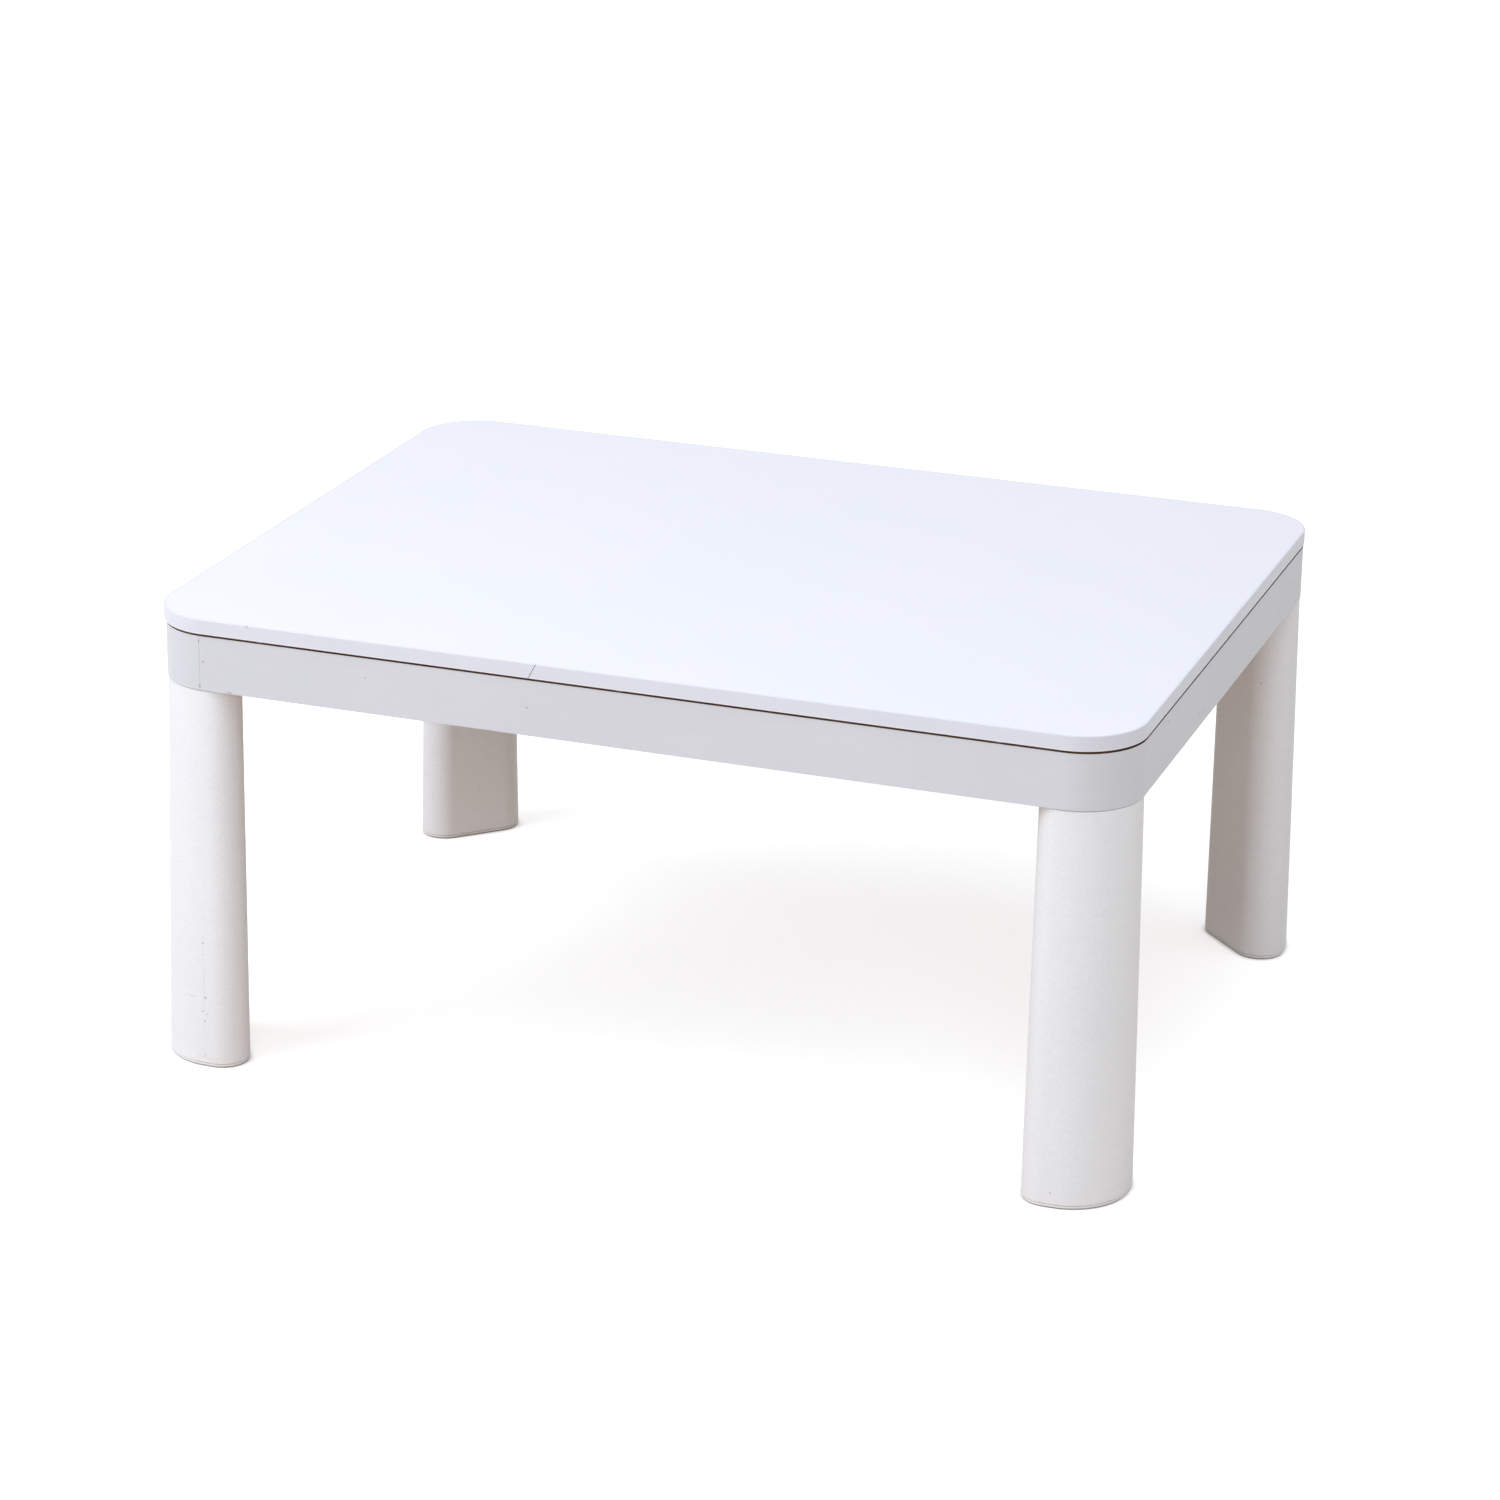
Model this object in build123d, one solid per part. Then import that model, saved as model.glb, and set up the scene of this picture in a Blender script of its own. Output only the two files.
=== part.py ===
from build123d import *
import os
from math import atan2, degrees, radians, tan

os.makedirs("parts", exist_ok=True)

# Kotatsu: a low heated table with a loose top board. Millimetres, +Z up, +X to the right along the
# long side, front at -Y. The origin is on the floor under the middle of the table.

# ---- Overall sizes ----
TABLE_HEIGHT = 380.0
TOP_WIDTH = 800.0           # over the edge band, along X
TOP_DEPTH = 600.0           # over the edge band, along Y
TOP_CORNER = 52.0           # corner radius of the board in plan
TOP_THICK = 12.0
BOARD_GAP = 2.0             # shadow gap between board and frame, held open by the rest pads

# ---- Board layers ----
LAMINATE = 0.8
BAND_THICK = 1.6
BAND_ROUND = 1.2            # rounding of the band's upper and lower outer edges
BAND_JOIN_X = -69.5         # where the ends of the band meet on the front edge, at mid thickness
BAND_JOIN_GAP = 0.2
BAND_JOIN_LEAN = 28.0       # degrees from upright

# ---- Frame ring ----
APRON_INSET = 1.5           # board overhang past the ring on each side
APRON_HEIGHT = 45.0
WRAP_THICK = 1.2            # smooth skin bent round the ring
WRAP_ROUND = 0.5
WRAP_JOIN_IN = 47.5         # join of the skin, from the ring's left face
WRAP_JOIN_GAP = 0.3
RAIL_THICK = 12.0
TONGUE_THICK = 5.0
TONGUE_LONG = 12.0
JOINT_CLEAR = 0.1           # glue room round tongues and dowels
BLOCK_THICK = 20.0
BLOCK_LEG = 118.0           # corner block, from the ring's outer face along each side
BLOCK_TIP = 32.0            # depth of the block's square ends
BLOCK_EDGE = 3.0

# ---- Rest pads ----
PAD_RADIUS = 5.0
PAD_REACH_X = 300.0
PAD_REACH_Y = 200.0

# ---- Heater bay ----
BAY_SIZE = 292.0            # clear opening between the bars, both ways
BAR_WIDE = 22.0
BAR_TALL = 38.0
BAR_DROP = 2.0              # top of the bars below the top of the ring
DOWEL_RADIUS = 4.0
DOWEL_LONG = 20.0
DOWEL_IN_RAIL = 9.0
DOWEL_IN_BAR = 11.0
DOWEL_EDGE = 9.0            # dowel centres from the bars' upper and lower faces

# ---- Legs ----
LEG_TOP_INSET = 0.8         # leg behind the ring's face, at the top
LEG_FLARE = 5.8             # how far each outer face leans out on the way to the floor
LEG_SPREAD = 3.3            # how far the sloping inner face moves outwards on the way
LEG_CORNER_LESS = 2.0       # radius of a leg's outer corner, less than the ring's
LEG_FLAT = 0.7              # flat stretch between that corner and either tip, at the top
LEG_TIP = 21.0              # radius of the two tips
LEG_WALL = 3.0
LEG_TOP_WALL = 6.0
SEAM_STEP = 0.5             # height of the shadow step under the ring
SEAM_INSET = 1.5
LEG_PIN_RADIUS = 4.0
LEG_PIN_TALL = 8.0
LEG_PIN_ALONG = 54.0        # locating pins, from the ring's outer faces
LEG_PIN_IN = 22.0
LEG_PIN_CLEAR = 0.2
LEG_PIN_CHAMFER = 1.0
BOSS_WALL = 3.0
BOSS_LONG = 46.0
RIB_THICK = 2.5
RIB_LONG = 34.0
RIB_REACH = 60.0            # ribs run past the leg's walls, which trim them

# ---- Feet ----
FOOT_PAD_THICK = 1.0
FOOT_PAD_INSET = 7.0
CAP_THICK = 3.5
CAP_INSET = 0.5
CAP_CHAMFER = 1.2
CAP_SKIRT = 10.0
CAP_SKIRT_WALL = 2.5
CAP_CLEAR = 0.4

# ---- Leg fixings, M8 ----
STUD_RADIUS = 4.0
STUD_IN = 41.0              # stud axis from the ring's outer faces
STUD_IN_LEG = 30.0
STUD_PAST_NUT = 3.0
STUD_CHAMFER = 1.0
STUD_HOLE_CLEAR = 0.5
THREAD_CLEAR = 0.05
INSERT_RADIUS = 6.0
INSERT_LONG = 24.0
WASHER_RADIUS = 11.0
WASHER_THICK = 1.6
NUT_GAP = 0.2
NUT_HUB_LOW = 8.5
NUT_HUB_HIGH = 6.5
NUT_TALL = 9.0
WING_REACH = 18.0
WING_RADIUS = 6.0
WING_THICK = 3.5
WING_RISE = 5.0             # wing centres above the middle of the hub
WING_ROOT = 1.0             # where the wings leave the hub, above its foot
WING_NOTCH = 10.0           # radius of the finger hollow between the wings

# ---- Screws ----
SCREW_RADIUS = 2.0
SCREW_HEAD_RADIUS = 4.0
SCREW_HEAD = 2.4
BLOCK_SCREW_LONG = 26.0
BLOCK_SCREW_ALONG = 98.0    # from the ring's outer face
BLOCK_SCREW_BITE = 9.0      # length of the block screw inside the rail
HEATER_SCREW_LONG = 18.0
HEATER_SCREW_IN = 46.0      # from the flange's front and back edges

# ---- Heater ----
SHEET = 0.8
CASE_GAP = 2.0              # air between case and bars
CASE_CORNER = 14.0
CASE_ROUND = 6.0
FLANGE_LAP = 12.0           # flange under the bars
SHIELD_THICK = 1.5
REFLECTOR_SHEET = 0.6
REFLECTOR_RISE = 8.0        # lip of the reflector above the flange
REFLECTOR_DEEP = 24.0
REFLECTOR_CLEAR = 5.0       # between the sheet's ends and the tube holders
VALLEY = 16.0               # flat between the two troughs
REFLECTOR_LIP = 4.0         # flat along the front and the back of the sheet
TERMINAL_ROOM = 43.0        # closed compartment along the back of the case
TUBE_RADIUS = 5.5
TUBE_WALL = 1.0
TUBE_RISE = 16.0            # tube axis above the flange
TUBE_SEAT = 7.0             # tube end inside its holder
COIL_CLEAR = 0.3
COIL_END = 9.0              # from a holder to the first turn of the coil
HOLDER_LONG = 18.0
HOLDER_WIDE = 18.0
HOLDER_TALL = 20.0
HOLDER_CLEAR = 0.1

# ---- Guard ----
RING_RADIUS = 2.0
RING_OUT = 2.0              # ring axis outside the case opening
RING_CORNER = 14.0
WIRE_RADIUS = 1.2
WIRE_PITCH = 16.0
WIRE_DROP = 9.5             # depth of the guard's dish
WIRE_SLOPE = 14.0
WIRE_RUN_IN = 9.0
WELD = 0.4                  # depth that crossing wires sink into each other
CROSS_WIRES = 3
CROSS_PITCH = 72.0
CLIP_WIDE = 12.0
CLIP_FOOT = 7.0
CLIP_BESIDE = 16.2          # clips outside the guard's outer cross wires
CLIP_CLEAR = 0.2

# ---- Inlet and wiring ----
INLET_WIDE = 42.0
INLET_DEEP = 22.0
INLET_WALL = 2.2
INLET_CAVITY = 14.0
INLET_BODY = 18.0
INLET_LEDGE = 2.0
INLET_FIT = 0.2
INLET_BACK = 4.0            # inlet behind the middle of the terminal compartment
PIN_RADIUS = 2.0
PIN_PITCH = 10.0
PIN_COUNT = 3
PIN_BACK = 3.0              # pin tips behind the mouth
PIN_TAIL = 3.0
LEAD_RADIUS = 1.2
LEAD_RISE = 5.0             # how far a lead stands off before it turns
LEAD_HOLE = 3.0
BLOCK_TERM = (32.0, 14.0, 12.0)
BLOCK_TERM_IN = 27.0        # terminal block from the case's right wall
STAT_SIZE = (16.0, 16.0, 8.0)
STAT_GAP = 21.0             # between thermostat and terminal block
STAT_PITCH = 8.0            # between the thermostat's two terminals
FUSE_RADIUS = 2.5
FUSE_LONG = 16.0
FUSE_GAP = 39.0             # between fuse and inlet
FUSE_LEAD = 12.0            # from the fuse's end to where its lead rises

# ---- Levels and lines that follow from the sizes above ----
TOP_LOW = TABLE_HEIGHT - TOP_THICK
APRON_HIGH = TOP_LOW - BOARD_GAP
APRON_LOW = APRON_HIGH - APRON_HEIGHT
RING_WIDTH = TOP_WIDTH - 2 * APRON_INSET
RING_DEPTH = TOP_DEPTH - 2 * APRON_INSET
APRON_CORNER = TOP_CORNER - APRON_INSET
RAIL_FACE = WRAP_THICK + RAIL_THICK         # inner face of the rails, from the ring's outer face
RAIL_MID = WRAP_THICK + RAIL_THICK / 2
BLOCK_HIGH = APRON_LOW + BLOCK_THICK
SCREW_LEVEL = APRON_LOW + BLOCK_THICK / 2
BAR_HIGH = APRON_HIGH - BAR_DROP
BAR_LOW = BAR_HIGH - BAR_TALL
BAR_MID = (BAY_SIZE + BAR_WIDE) / 2
BAR_HALF = RING_DEPTH / 2 - RAIL_FACE
DOWEL_LEVELS = (BAR_LOW + DOWEL_EDGE, BAR_HIGH - DOWEL_EDGE)
LEG_HIGH = APRON_LOW
LEG_LOW = FOOT_PAD_THICK + CAP_THICK
LEG_CORNER = APRON_CORNER - LEG_CORNER_LESS
TIP_TANGENT = 1 / tan(radians(22.5))        # tangent length of a 45 degree tip, per radius
LEG_SIDE = LEG_CORNER + LEG_FLAT + TIP_TANGENT * LEG_TIP
FOOT_SIDE = LEG_SIDE + 2 * LEG_FLARE - (TIP_TANGENT - 1) * LEG_SPREAD
FLANGE_LOW = BAR_LOW - SHEET
CASE_HALF = BAY_SIZE / 2 - CASE_GAP
CASE_IN = CASE_HALF - SHEET                 # inner face of the case walls
CASE_HIGH = BAR_HIGH
FLANGE_HALF = BAY_SIZE / 2 + FLANGE_LAP
SHIELD_LOW = CASE_HIGH - SHEET - SHIELD_THICK
TERMINAL_FRONT = CASE_IN - TERMINAL_ROOM
COVER_HIGH = BAR_LOW
LIP_LEVEL = FLANGE_LOW + REFLECTOR_RISE
TROUGH = (TERMINAL_FRONT + CASE_IN - VALLEY) / 2
REFLECTOR_MID = (TERMINAL_FRONT - CASE_IN) / 2
TUBE_LEVEL = FLANGE_LOW + TUBE_RISE
TUBE_Y = tuple(REFLECTOR_MID + side * (VALLEY + TROUGH) / 2 for side in (-1, 1))
HEATER_SCREW_Y = FLANGE_HALF - HEATER_SCREW_IN
HOLDER_FACE = CASE_IN - HOLDER_LONG
REFLECTOR_HALF = HOLDER_FACE - REFLECTOR_CLEAR
COIL_HALF = HOLDER_FACE - COIL_END
HOLDER_HIGH = TUBE_LEVEL + HOLDER_TALL / 2
CROSS_OUTER = (CROSS_WIRES - 1) / 2 * CROSS_PITCH
CLIP_X = CROSS_OUTER + CLIP_BESIDE
INLET_Y = TERMINAL_FRONT + TERMINAL_ROOM / 2 + INLET_BACK
BLOCK_TERM_X = CASE_IN - BLOCK_TERM_IN - BLOCK_TERM[0] / 2
STAT_X = BLOCK_TERM_X - (BLOCK_TERM[0] + STAT_SIZE[0]) / 2 - STAT_GAP
FUSE_X = -(INLET_WIDE + FUSE_LONG) / 2 - INLET_LEDGE - FUSE_GAP
CAVITY_HIGH = FLANGE_LOW + INLET_CAVITY
INLET_HIGH = FLANGE_LOW + INLET_BODY
NUT_LOW = BLOCK_HIGH + WASHER_THICK + NUT_GAP
STUD_HIGH = NUT_LOW + NUT_TALL + STUD_PAST_NUT
CORNERS = {
    "front_left": (-1, -1),
    "front_right": (1, -1),
    "back_right": (1, 1),
    "back_left": (-1, 1),
}


# ---- Helpers ----
def save(name, shape):
    """Writes one sub-part."""
    export_step(shape, f"parts/{name}.step")


def slab(width, depth, corner, low, high):
    """Rounded rectangular plate between two heights, centred on the table."""
    return Pos(0, 0, low) * extrude(RectangleRounded(width, depth, corner), high - low)


def block(x0, x1, y0, y1, z0, z1):
    """Box between two opposite corners."""
    box = Box(x1 - x0, y1 - y0, z1 - z0)
    return Pos((x0 + x1) / 2, (y0 + y1) / 2, (z0 + z1) / 2) * box


def upright(x, y, radius, low, high):
    """Upright cylinder."""
    return Pos(x, y, (low + high) / 2) * Cylinder(radius, high - low)


def bar_x(x0, x1, y, z, radius):
    """Cylinder along X."""
    return Pos((x0 + x1) / 2, y, z) * Rot(0, 90, 0) * Cylinder(radius, x1 - x0)


def bar_y(x, y0, y1, z, radius):
    """Cylinder along Y."""
    return Pos(x, (y0 + y1) / 2, z) * Rot(90, 0, 0) * Cylinder(radius, y1 - y0)


def wire(points, radius):
    """Round wire along straight runs with mitred corners."""
    path = Polyline(*points)
    start = Plane(origin=path @ 0, z_dir=path % 0)
    return sweep(start * Circle(radius), path=path, transition=Transition.RIGHT)


def at_corner(shape, side_x, side_y):
    """Moves a piece built in corner measure, with u and v counted inwards from the ring's outer
    faces, to one corner of the ring."""
    shape = Pos(-RING_WIDTH / 2, -RING_DEPTH / 2, 0) * shape
    if side_x > 0:
        shape = mirror(shape, Plane.YZ)
    if side_y > 0:
        shape = mirror(shape, Plane.XZ)
    return shape


# ---- Top board ----
def edge_band():
    """Band bent round the board, its ends meeting in a slanted join on the front edge."""
    band = slab(TOP_WIDTH, TOP_DEPTH, TOP_CORNER, TOP_LOW, TABLE_HEIGHT)
    layers = band.edges().group_by(Axis.Z)
    band = fillet(layers[0] + layers[-1], BAND_ROUND)
    band -= slab(TOP_WIDTH - 2 * BAND_THICK, TOP_DEPTH - 2 * BAND_THICK,
                 TOP_CORNER - BAND_THICK, TOP_LOW, TABLE_HEIGHT)
    knife = Box(BAND_JOIN_GAP, 4 * BAND_THICK, 3 * TOP_THICK)
    middle = (TOP_LOW + TABLE_HEIGHT) / 2
    return band - Pos(BAND_JOIN_X, -TOP_DEPTH / 2, middle) * Rot(0, BAND_JOIN_LEAN, 0) * knife


def board_layer(low, high):
    """One flat layer inside the band."""
    return slab(TOP_WIDTH - 2 * BAND_THICK, TOP_DEPTH - 2 * BAND_THICK,
                TOP_CORNER - BAND_THICK, low, high)


# ---- Frame ring ----
def apron_skin():
    """Continuous skin round the rails, butted near the front left corner."""
    skin = slab(RING_WIDTH, RING_DEPTH, APRON_CORNER, APRON_LOW, APRON_HIGH)
    layers = skin.edges().group_by(Axis.Z)
    skin = fillet(layers[0] + layers[-1], WRAP_ROUND)
    skin -= slab(RING_WIDTH - 2 * WRAP_THICK, RING_DEPTH - 2 * WRAP_THICK,
                 APRON_CORNER - WRAP_THICK, APRON_LOW, APRON_HIGH)
    join_x = -RING_WIDTH / 2 + WRAP_JOIN_IN
    knife = block(join_x, join_x + WRAP_JOIN_GAP, -RING_DEPTH / 2 - WRAP_THICK,
                  -RING_DEPTH / 2 + 3 * WRAP_THICK, APRON_LOW, APRON_HIGH)
    return skin - knife


def corner_bend():
    """Quarter ring with a tongue at each end, in corner measure."""
    outer = APRON_CORNER - WRAP_THICK
    inner = outer - RAIL_THICK
    ring = Circle(outer) - Circle(inner)
    quarter = ring & (Pos(-outer / 2, -outer / 2) * Rectangle(outer, outer))
    bend = Pos(APRON_CORNER, APRON_CORNER, APRON_LOW) * extrude(quarter, APRON_HEIGHT)
    half = TONGUE_THICK / 2 - JOINT_CLEAR
    reach = APRON_CORNER + TONGUE_LONG - JOINT_CLEAR
    tongue = block(APRON_CORNER, reach, RAIL_MID - half, RAIL_MID + half, APRON_LOW, APRON_HIGH)
    other = block(RAIL_MID - half, RAIL_MID + half, APRON_CORNER, reach, APRON_LOW, APRON_HIGH)
    return bend + tongue + other


def corner_block():
    """Triangular block that ties two rails and carries the leg, in corner measure."""
    outline = Polygon((RAIL_FACE, RAIL_FACE), (BLOCK_LEG, RAIL_FACE), (BLOCK_LEG, BLOCK_TIP),
                      (BLOCK_TIP, BLOCK_LEG), (RAIL_FACE, BLOCK_LEG), align=None)
    points = outline.vertices().sort_by_distance((RAIL_FACE, RAIL_FACE))
    inner_bend = APRON_CORNER - RAIL_FACE
    outline = fillet(points[1:], BLOCK_EDGE)
    corner = outline.vertices().sort_by_distance((RAIL_FACE, RAIL_FACE))[0]
    outline = fillet(corner, inner_bend + BLOCK_EDGE)
    body = Pos(0, 0, APRON_LOW) * extrude(outline, BLOCK_THICK)
    body -= upright(STUD_IN, STUD_IN, STUD_RADIUS + STUD_HOLE_CLEAR, APRON_LOW, BLOCK_HIGH)
    pin_hole = LEG_PIN_RADIUS + LEG_PIN_CLEAR
    pin_top = APRON_LOW + LEG_PIN_TALL + 2 * LEG_PIN_CLEAR
    for u, v in ((LEG_PIN_ALONG, LEG_PIN_IN), (LEG_PIN_IN, LEG_PIN_ALONG)):
        body -= upright(u, v, pin_hole, APRON_LOW, pin_top)
    hole = SCREW_RADIUS + JOINT_CLEAR
    head = SCREW_HEAD_RADIUS + JOINT_CLEAR
    body -= bar_y(BLOCK_SCREW_ALONG, RAIL_FACE, BLOCK_LEG, SCREW_LEVEL, hole)
    body -= bar_y(BLOCK_SCREW_ALONG, screw_seat(), BLOCK_LEG, SCREW_LEVEL, head)
    body -= bar_x(RAIL_FACE, BLOCK_LEG, BLOCK_SCREW_ALONG, SCREW_LEVEL, hole)
    body -= bar_x(screw_seat(), BLOCK_LEG, BLOCK_SCREW_ALONG, SCREW_LEVEL, head)
    return body


def screw_seat():
    """Where the head of a block screw bears, from the ring's outer face."""
    return RAIL_FACE - BLOCK_SCREW_BITE + BLOCK_SCREW_LONG


def block_screws():
    """Two screws at one corner, from the block into its two rails, in corner measure."""
    seat = screw_seat()
    tip = seat - BLOCK_SCREW_LONG
    along = bar_y(BLOCK_SCREW_ALONG, tip, seat, SCREW_LEVEL, SCREW_RADIUS)
    along += bar_y(BLOCK_SCREW_ALONG, seat, seat + SCREW_HEAD, SCREW_LEVEL, SCREW_HEAD_RADIUS)
    across = bar_x(tip, seat, BLOCK_SCREW_ALONG, SCREW_LEVEL, SCREW_RADIUS)
    across += bar_x(seat, seat + SCREW_HEAD, BLOCK_SCREW_ALONG, SCREW_LEVEL, SCREW_HEAD_RADIUS)
    return [along, across]


def long_rail(side_y):
    """Front or back rail, with end grooves and the holes of screws and bar dowels."""
    half = RING_WIDTH / 2 - APRON_CORNER
    outer = RING_DEPTH / 2 - WRAP_THICK
    inner = RING_DEPTH / 2 - RAIL_FACE
    rail = block(-half, half, inner, outer, APRON_LOW, APRON_HIGH)
    middle = RING_DEPTH / 2 - RAIL_MID
    for side_x in (-1, 1):
        rail -= Pos(side_x * half, middle, (APRON_LOW + APRON_HIGH) / 2) * Box(
            2 * TONGUE_LONG, TONGUE_THICK, APRON_HEIGHT)
        screw_x = side_x * (RING_WIDTH / 2 - BLOCK_SCREW_ALONG)
        rail -= bar_y(screw_x, inner, inner + BLOCK_SCREW_BITE + JOINT_CLEAR, SCREW_LEVEL,
                      SCREW_RADIUS + JOINT_CLEAR)
        for level in DOWEL_LEVELS:
            rail -= bar_y(side_x * BAR_MID, inner, inner + DOWEL_IN_RAIL + JOINT_CLEAR, level,
                          DOWEL_RADIUS + JOINT_CLEAR)
    if side_y < 0:
        rail = mirror(rail, Plane.XZ)
    return rail


def short_rail(side_x):
    """Left or right rail, with end grooves and screw holes."""
    half = RING_DEPTH / 2 - APRON_CORNER
    outer = RING_WIDTH / 2 - WRAP_THICK
    inner = RING_WIDTH / 2 - RAIL_FACE
    rail = block(inner, outer, -half, half, APRON_LOW, APRON_HIGH)
    middle = RING_WIDTH / 2 - RAIL_MID
    for side_y in (-1, 1):
        rail -= Pos(middle, side_y * half, (APRON_LOW + APRON_HIGH) / 2) * Box(
            TONGUE_THICK, 2 * TONGUE_LONG, APRON_HEIGHT)
        screw_y = side_y * (RING_DEPTH / 2 - BLOCK_SCREW_ALONG)
        rail -= bar_x(inner, inner + BLOCK_SCREW_BITE + JOINT_CLEAR, screw_y, SCREW_LEVEL,
                      SCREW_RADIUS + JOINT_CLEAR)
    if side_x < 0:
        rail = mirror(rail, Plane.YZ)
    return rail


def rest_pads():
    """Soft discs on the ring that carry the board and hold the shadow gap open."""
    line_y = RING_DEPTH / 2 - RAIL_MID
    line_x = RING_WIDTH / 2 - RAIL_MID
    spots = [(x, side * line_y) for x in (-PAD_REACH_X, 0, PAD_REACH_X) for side in (-1, 1)]
    spots += [(side * line_x, y) for y in (-PAD_REACH_Y, PAD_REACH_Y) for side in (-1, 1)]
    return [upright(x, y, PAD_RADIUS, APRON_HIGH, TOP_LOW) for x, y in spots]


# ---- Heater bay ----
def heater_bar(side_x):
    """Bar from the front rail to the back rail, beside the heater."""
    inner = BAY_SIZE / 2
    bar = block(inner, inner + BAR_WIDE, -BAR_HALF, BAR_HALF, BAR_LOW, BAR_HIGH)
    hole = DOWEL_RADIUS + JOINT_CLEAR
    in_end = DOWEL_LONG - DOWEL_IN_RAIL + JOINT_CLEAR
    for side_y in (-1, 1):
        end = side_y * BAR_HALF
        for level in DOWEL_LEVELS:
            bar -= bar_y(BAR_MID, *sorted((end, end - side_y * in_end)), level, hole)
            bar -= bar_x(inner, inner + DOWEL_IN_BAR + JOINT_CLEAR, side_y * BAR_MID, level, hole)
        bar -= upright(heater_screw_x(), side_y * HEATER_SCREW_Y, SCREW_RADIUS + JOINT_CLEAR,
                       BAR_LOW, FLANGE_LOW + HEATER_SCREW_LONG + JOINT_CLEAR)
    if side_x < 0:
        bar = mirror(bar, Plane.YZ)
    return bar


def heater_screw_x():
    """Line of the heater's screws, midway along the flange's lap."""
    return BAY_SIZE / 2 + FLANGE_LAP / 2


def bay_piece(side_y):
    """Short piece between the two bars, in front of or behind the heater."""
    half = BAY_SIZE / 2
    piece = block(-half, half, half, half + BAR_WIDE, BAR_LOW, BAR_HIGH)
    reach = DOWEL_LONG - DOWEL_IN_BAR + JOINT_CLEAR
    for side_x in (-1, 1):
        end = side_x * half
        for level in DOWEL_LEVELS:
            piece -= bar_x(*sorted((end, end - side_x * reach)), BAR_MID, level,
                           DOWEL_RADIUS + JOINT_CLEAR)
    if side_y < 0:
        piece = mirror(piece, Plane.XZ)
    return piece


def frame_dowels():
    """Dowels of the bars and of the bay pieces."""
    dowels = []
    rail_end = BAR_HALF + DOWEL_IN_RAIL
    bay_end = BAY_SIZE / 2 + DOWEL_IN_BAR
    for side_x in (-1, 1):
        for side_y in (-1, 1):
            for level in DOWEL_LEVELS:
                span = sorted((side_y * rail_end, side_y * (rail_end - DOWEL_LONG)))
                dowels.append(bar_y(side_x * BAR_MID, *span, level, DOWEL_RADIUS))
                span = sorted((side_x * bay_end, side_x * (bay_end - DOWEL_LONG)))
                dowels.append(bar_x(*span, side_y * BAR_MID, level, DOWEL_RADIUS))
    return dowels


# ---- Legs ----
def leg_triangle(start, side):
    """Right triangle whose square corner lies that far in from both of the ring's outer faces."""
    return Polygon((start, start), (start + side, start), (start, start + side), align=None)


def long_edges(body):
    """Upright edges of a leg, the outer corner's first."""
    return body.edges().filter_by(Axis.Z, tolerance=10).sort_by_distance((0, 0, LEG_LOW))


def leg_body(high, inset=0.0):
    """Leg from its foot up to a level: a triangle drafted from the ring's underside, drawn that
    far inside the leg's surface. In corner measure."""
    start = LEG_TOP_INSET + inset
    outline = leg_triangle(start, LEG_SIDE - (1 + TIP_TANGENT) * inset)
    body = Pos(0, 0, LEG_LOW) * extrude(outline, LEG_HIGH - LEG_LOW)
    top = Plane.XY.offset(LEG_HIGH)
    slope = body.faces().sort_by(Axis((0, 0, 0), (1, 1, 0)))[-1]
    body = draft(slope, top, -degrees(atan2(LEG_SPREAD, LEG_HIGH - LEG_LOW)))
    outer = body.faces().filter_by(lambda face: face.normal_at().X + face.normal_at().Y < -0.5)
    body = draft(outer, top, degrees(atan2(LEG_FLARE, LEG_HIGH - LEG_LOW)))
    if high < LEG_HIGH:
        body = split(body, Plane.XY.offset(high), keep=Keep.BOTTOM)
    body = fillet(long_edges(body)[1:], LEG_TIP - inset)
    return fillet(long_edges(body)[0], LEG_CORNER - inset)


def foot_slice(inset, low, high):
    """Upright slice with the outline of the leg's foot, drawn that far inside it."""
    start = LEG_TOP_INSET - LEG_FLARE + inset
    outline = leg_triangle(start, FOOT_SIDE - (1 + TIP_TANGENT) * inset)
    outline = fillet(outline.vertices().sort_by_distance((0, 0))[1:], LEG_TIP - inset)
    outline = fillet(outline.vertices().sort_by_distance((0, 0))[0], LEG_CORNER - inset)
    return Pos(0, 0, low) * extrude(outline, high - low)


def leg_shell():
    """Moulded leg, open below, with a ribbed boss for the stud and two locating pins on top."""
    step = LEG_HIGH - SEAM_STEP
    crown = leg_body(LEG_HIGH, SEAM_INSET).faces().sort_by(Axis.Z)[-1]
    shell = leg_body(step) + extrude(crown, SEAM_STEP, dir=(0, 0, -1))
    roof = LEG_HIGH - LEG_TOP_WALL
    inside = upright(STUD_IN, STUD_IN, INSERT_RADIUS + BOSS_WALL, roof - BOSS_LONG, roof)
    rib = Box(2 * RIB_REACH, RIB_THICK, RIB_LONG)
    for turn in (45, 135):
        inside += Pos(STUD_IN, STUD_IN, roof - RIB_LONG / 2) * Rot(0, 0, turn) * rib
    shell -= leg_body(roof, LEG_WALL) - inside
    shell -= upright(STUD_IN, STUD_IN, INSERT_RADIUS + THREAD_CLEAR, LEG_HIGH - INSERT_LONG, LEG_HIGH)
    shell -= upright(STUD_IN, STUD_IN, STUD_RADIUS + STUD_HOLE_CLEAR,
                     LEG_HIGH - STUD_IN_LEG - STUD_CHAMFER, LEG_HIGH)
    for u, v in ((LEG_PIN_ALONG, LEG_PIN_IN), (LEG_PIN_IN, LEG_PIN_ALONG)):
        pin = upright(u, v, LEG_PIN_RADIUS, step, LEG_HIGH + LEG_PIN_TALL)
        shell += chamfer(pin.edges().group_by(Axis.Z)[-1], LEG_PIN_CHAMFER)
    return shell


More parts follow.
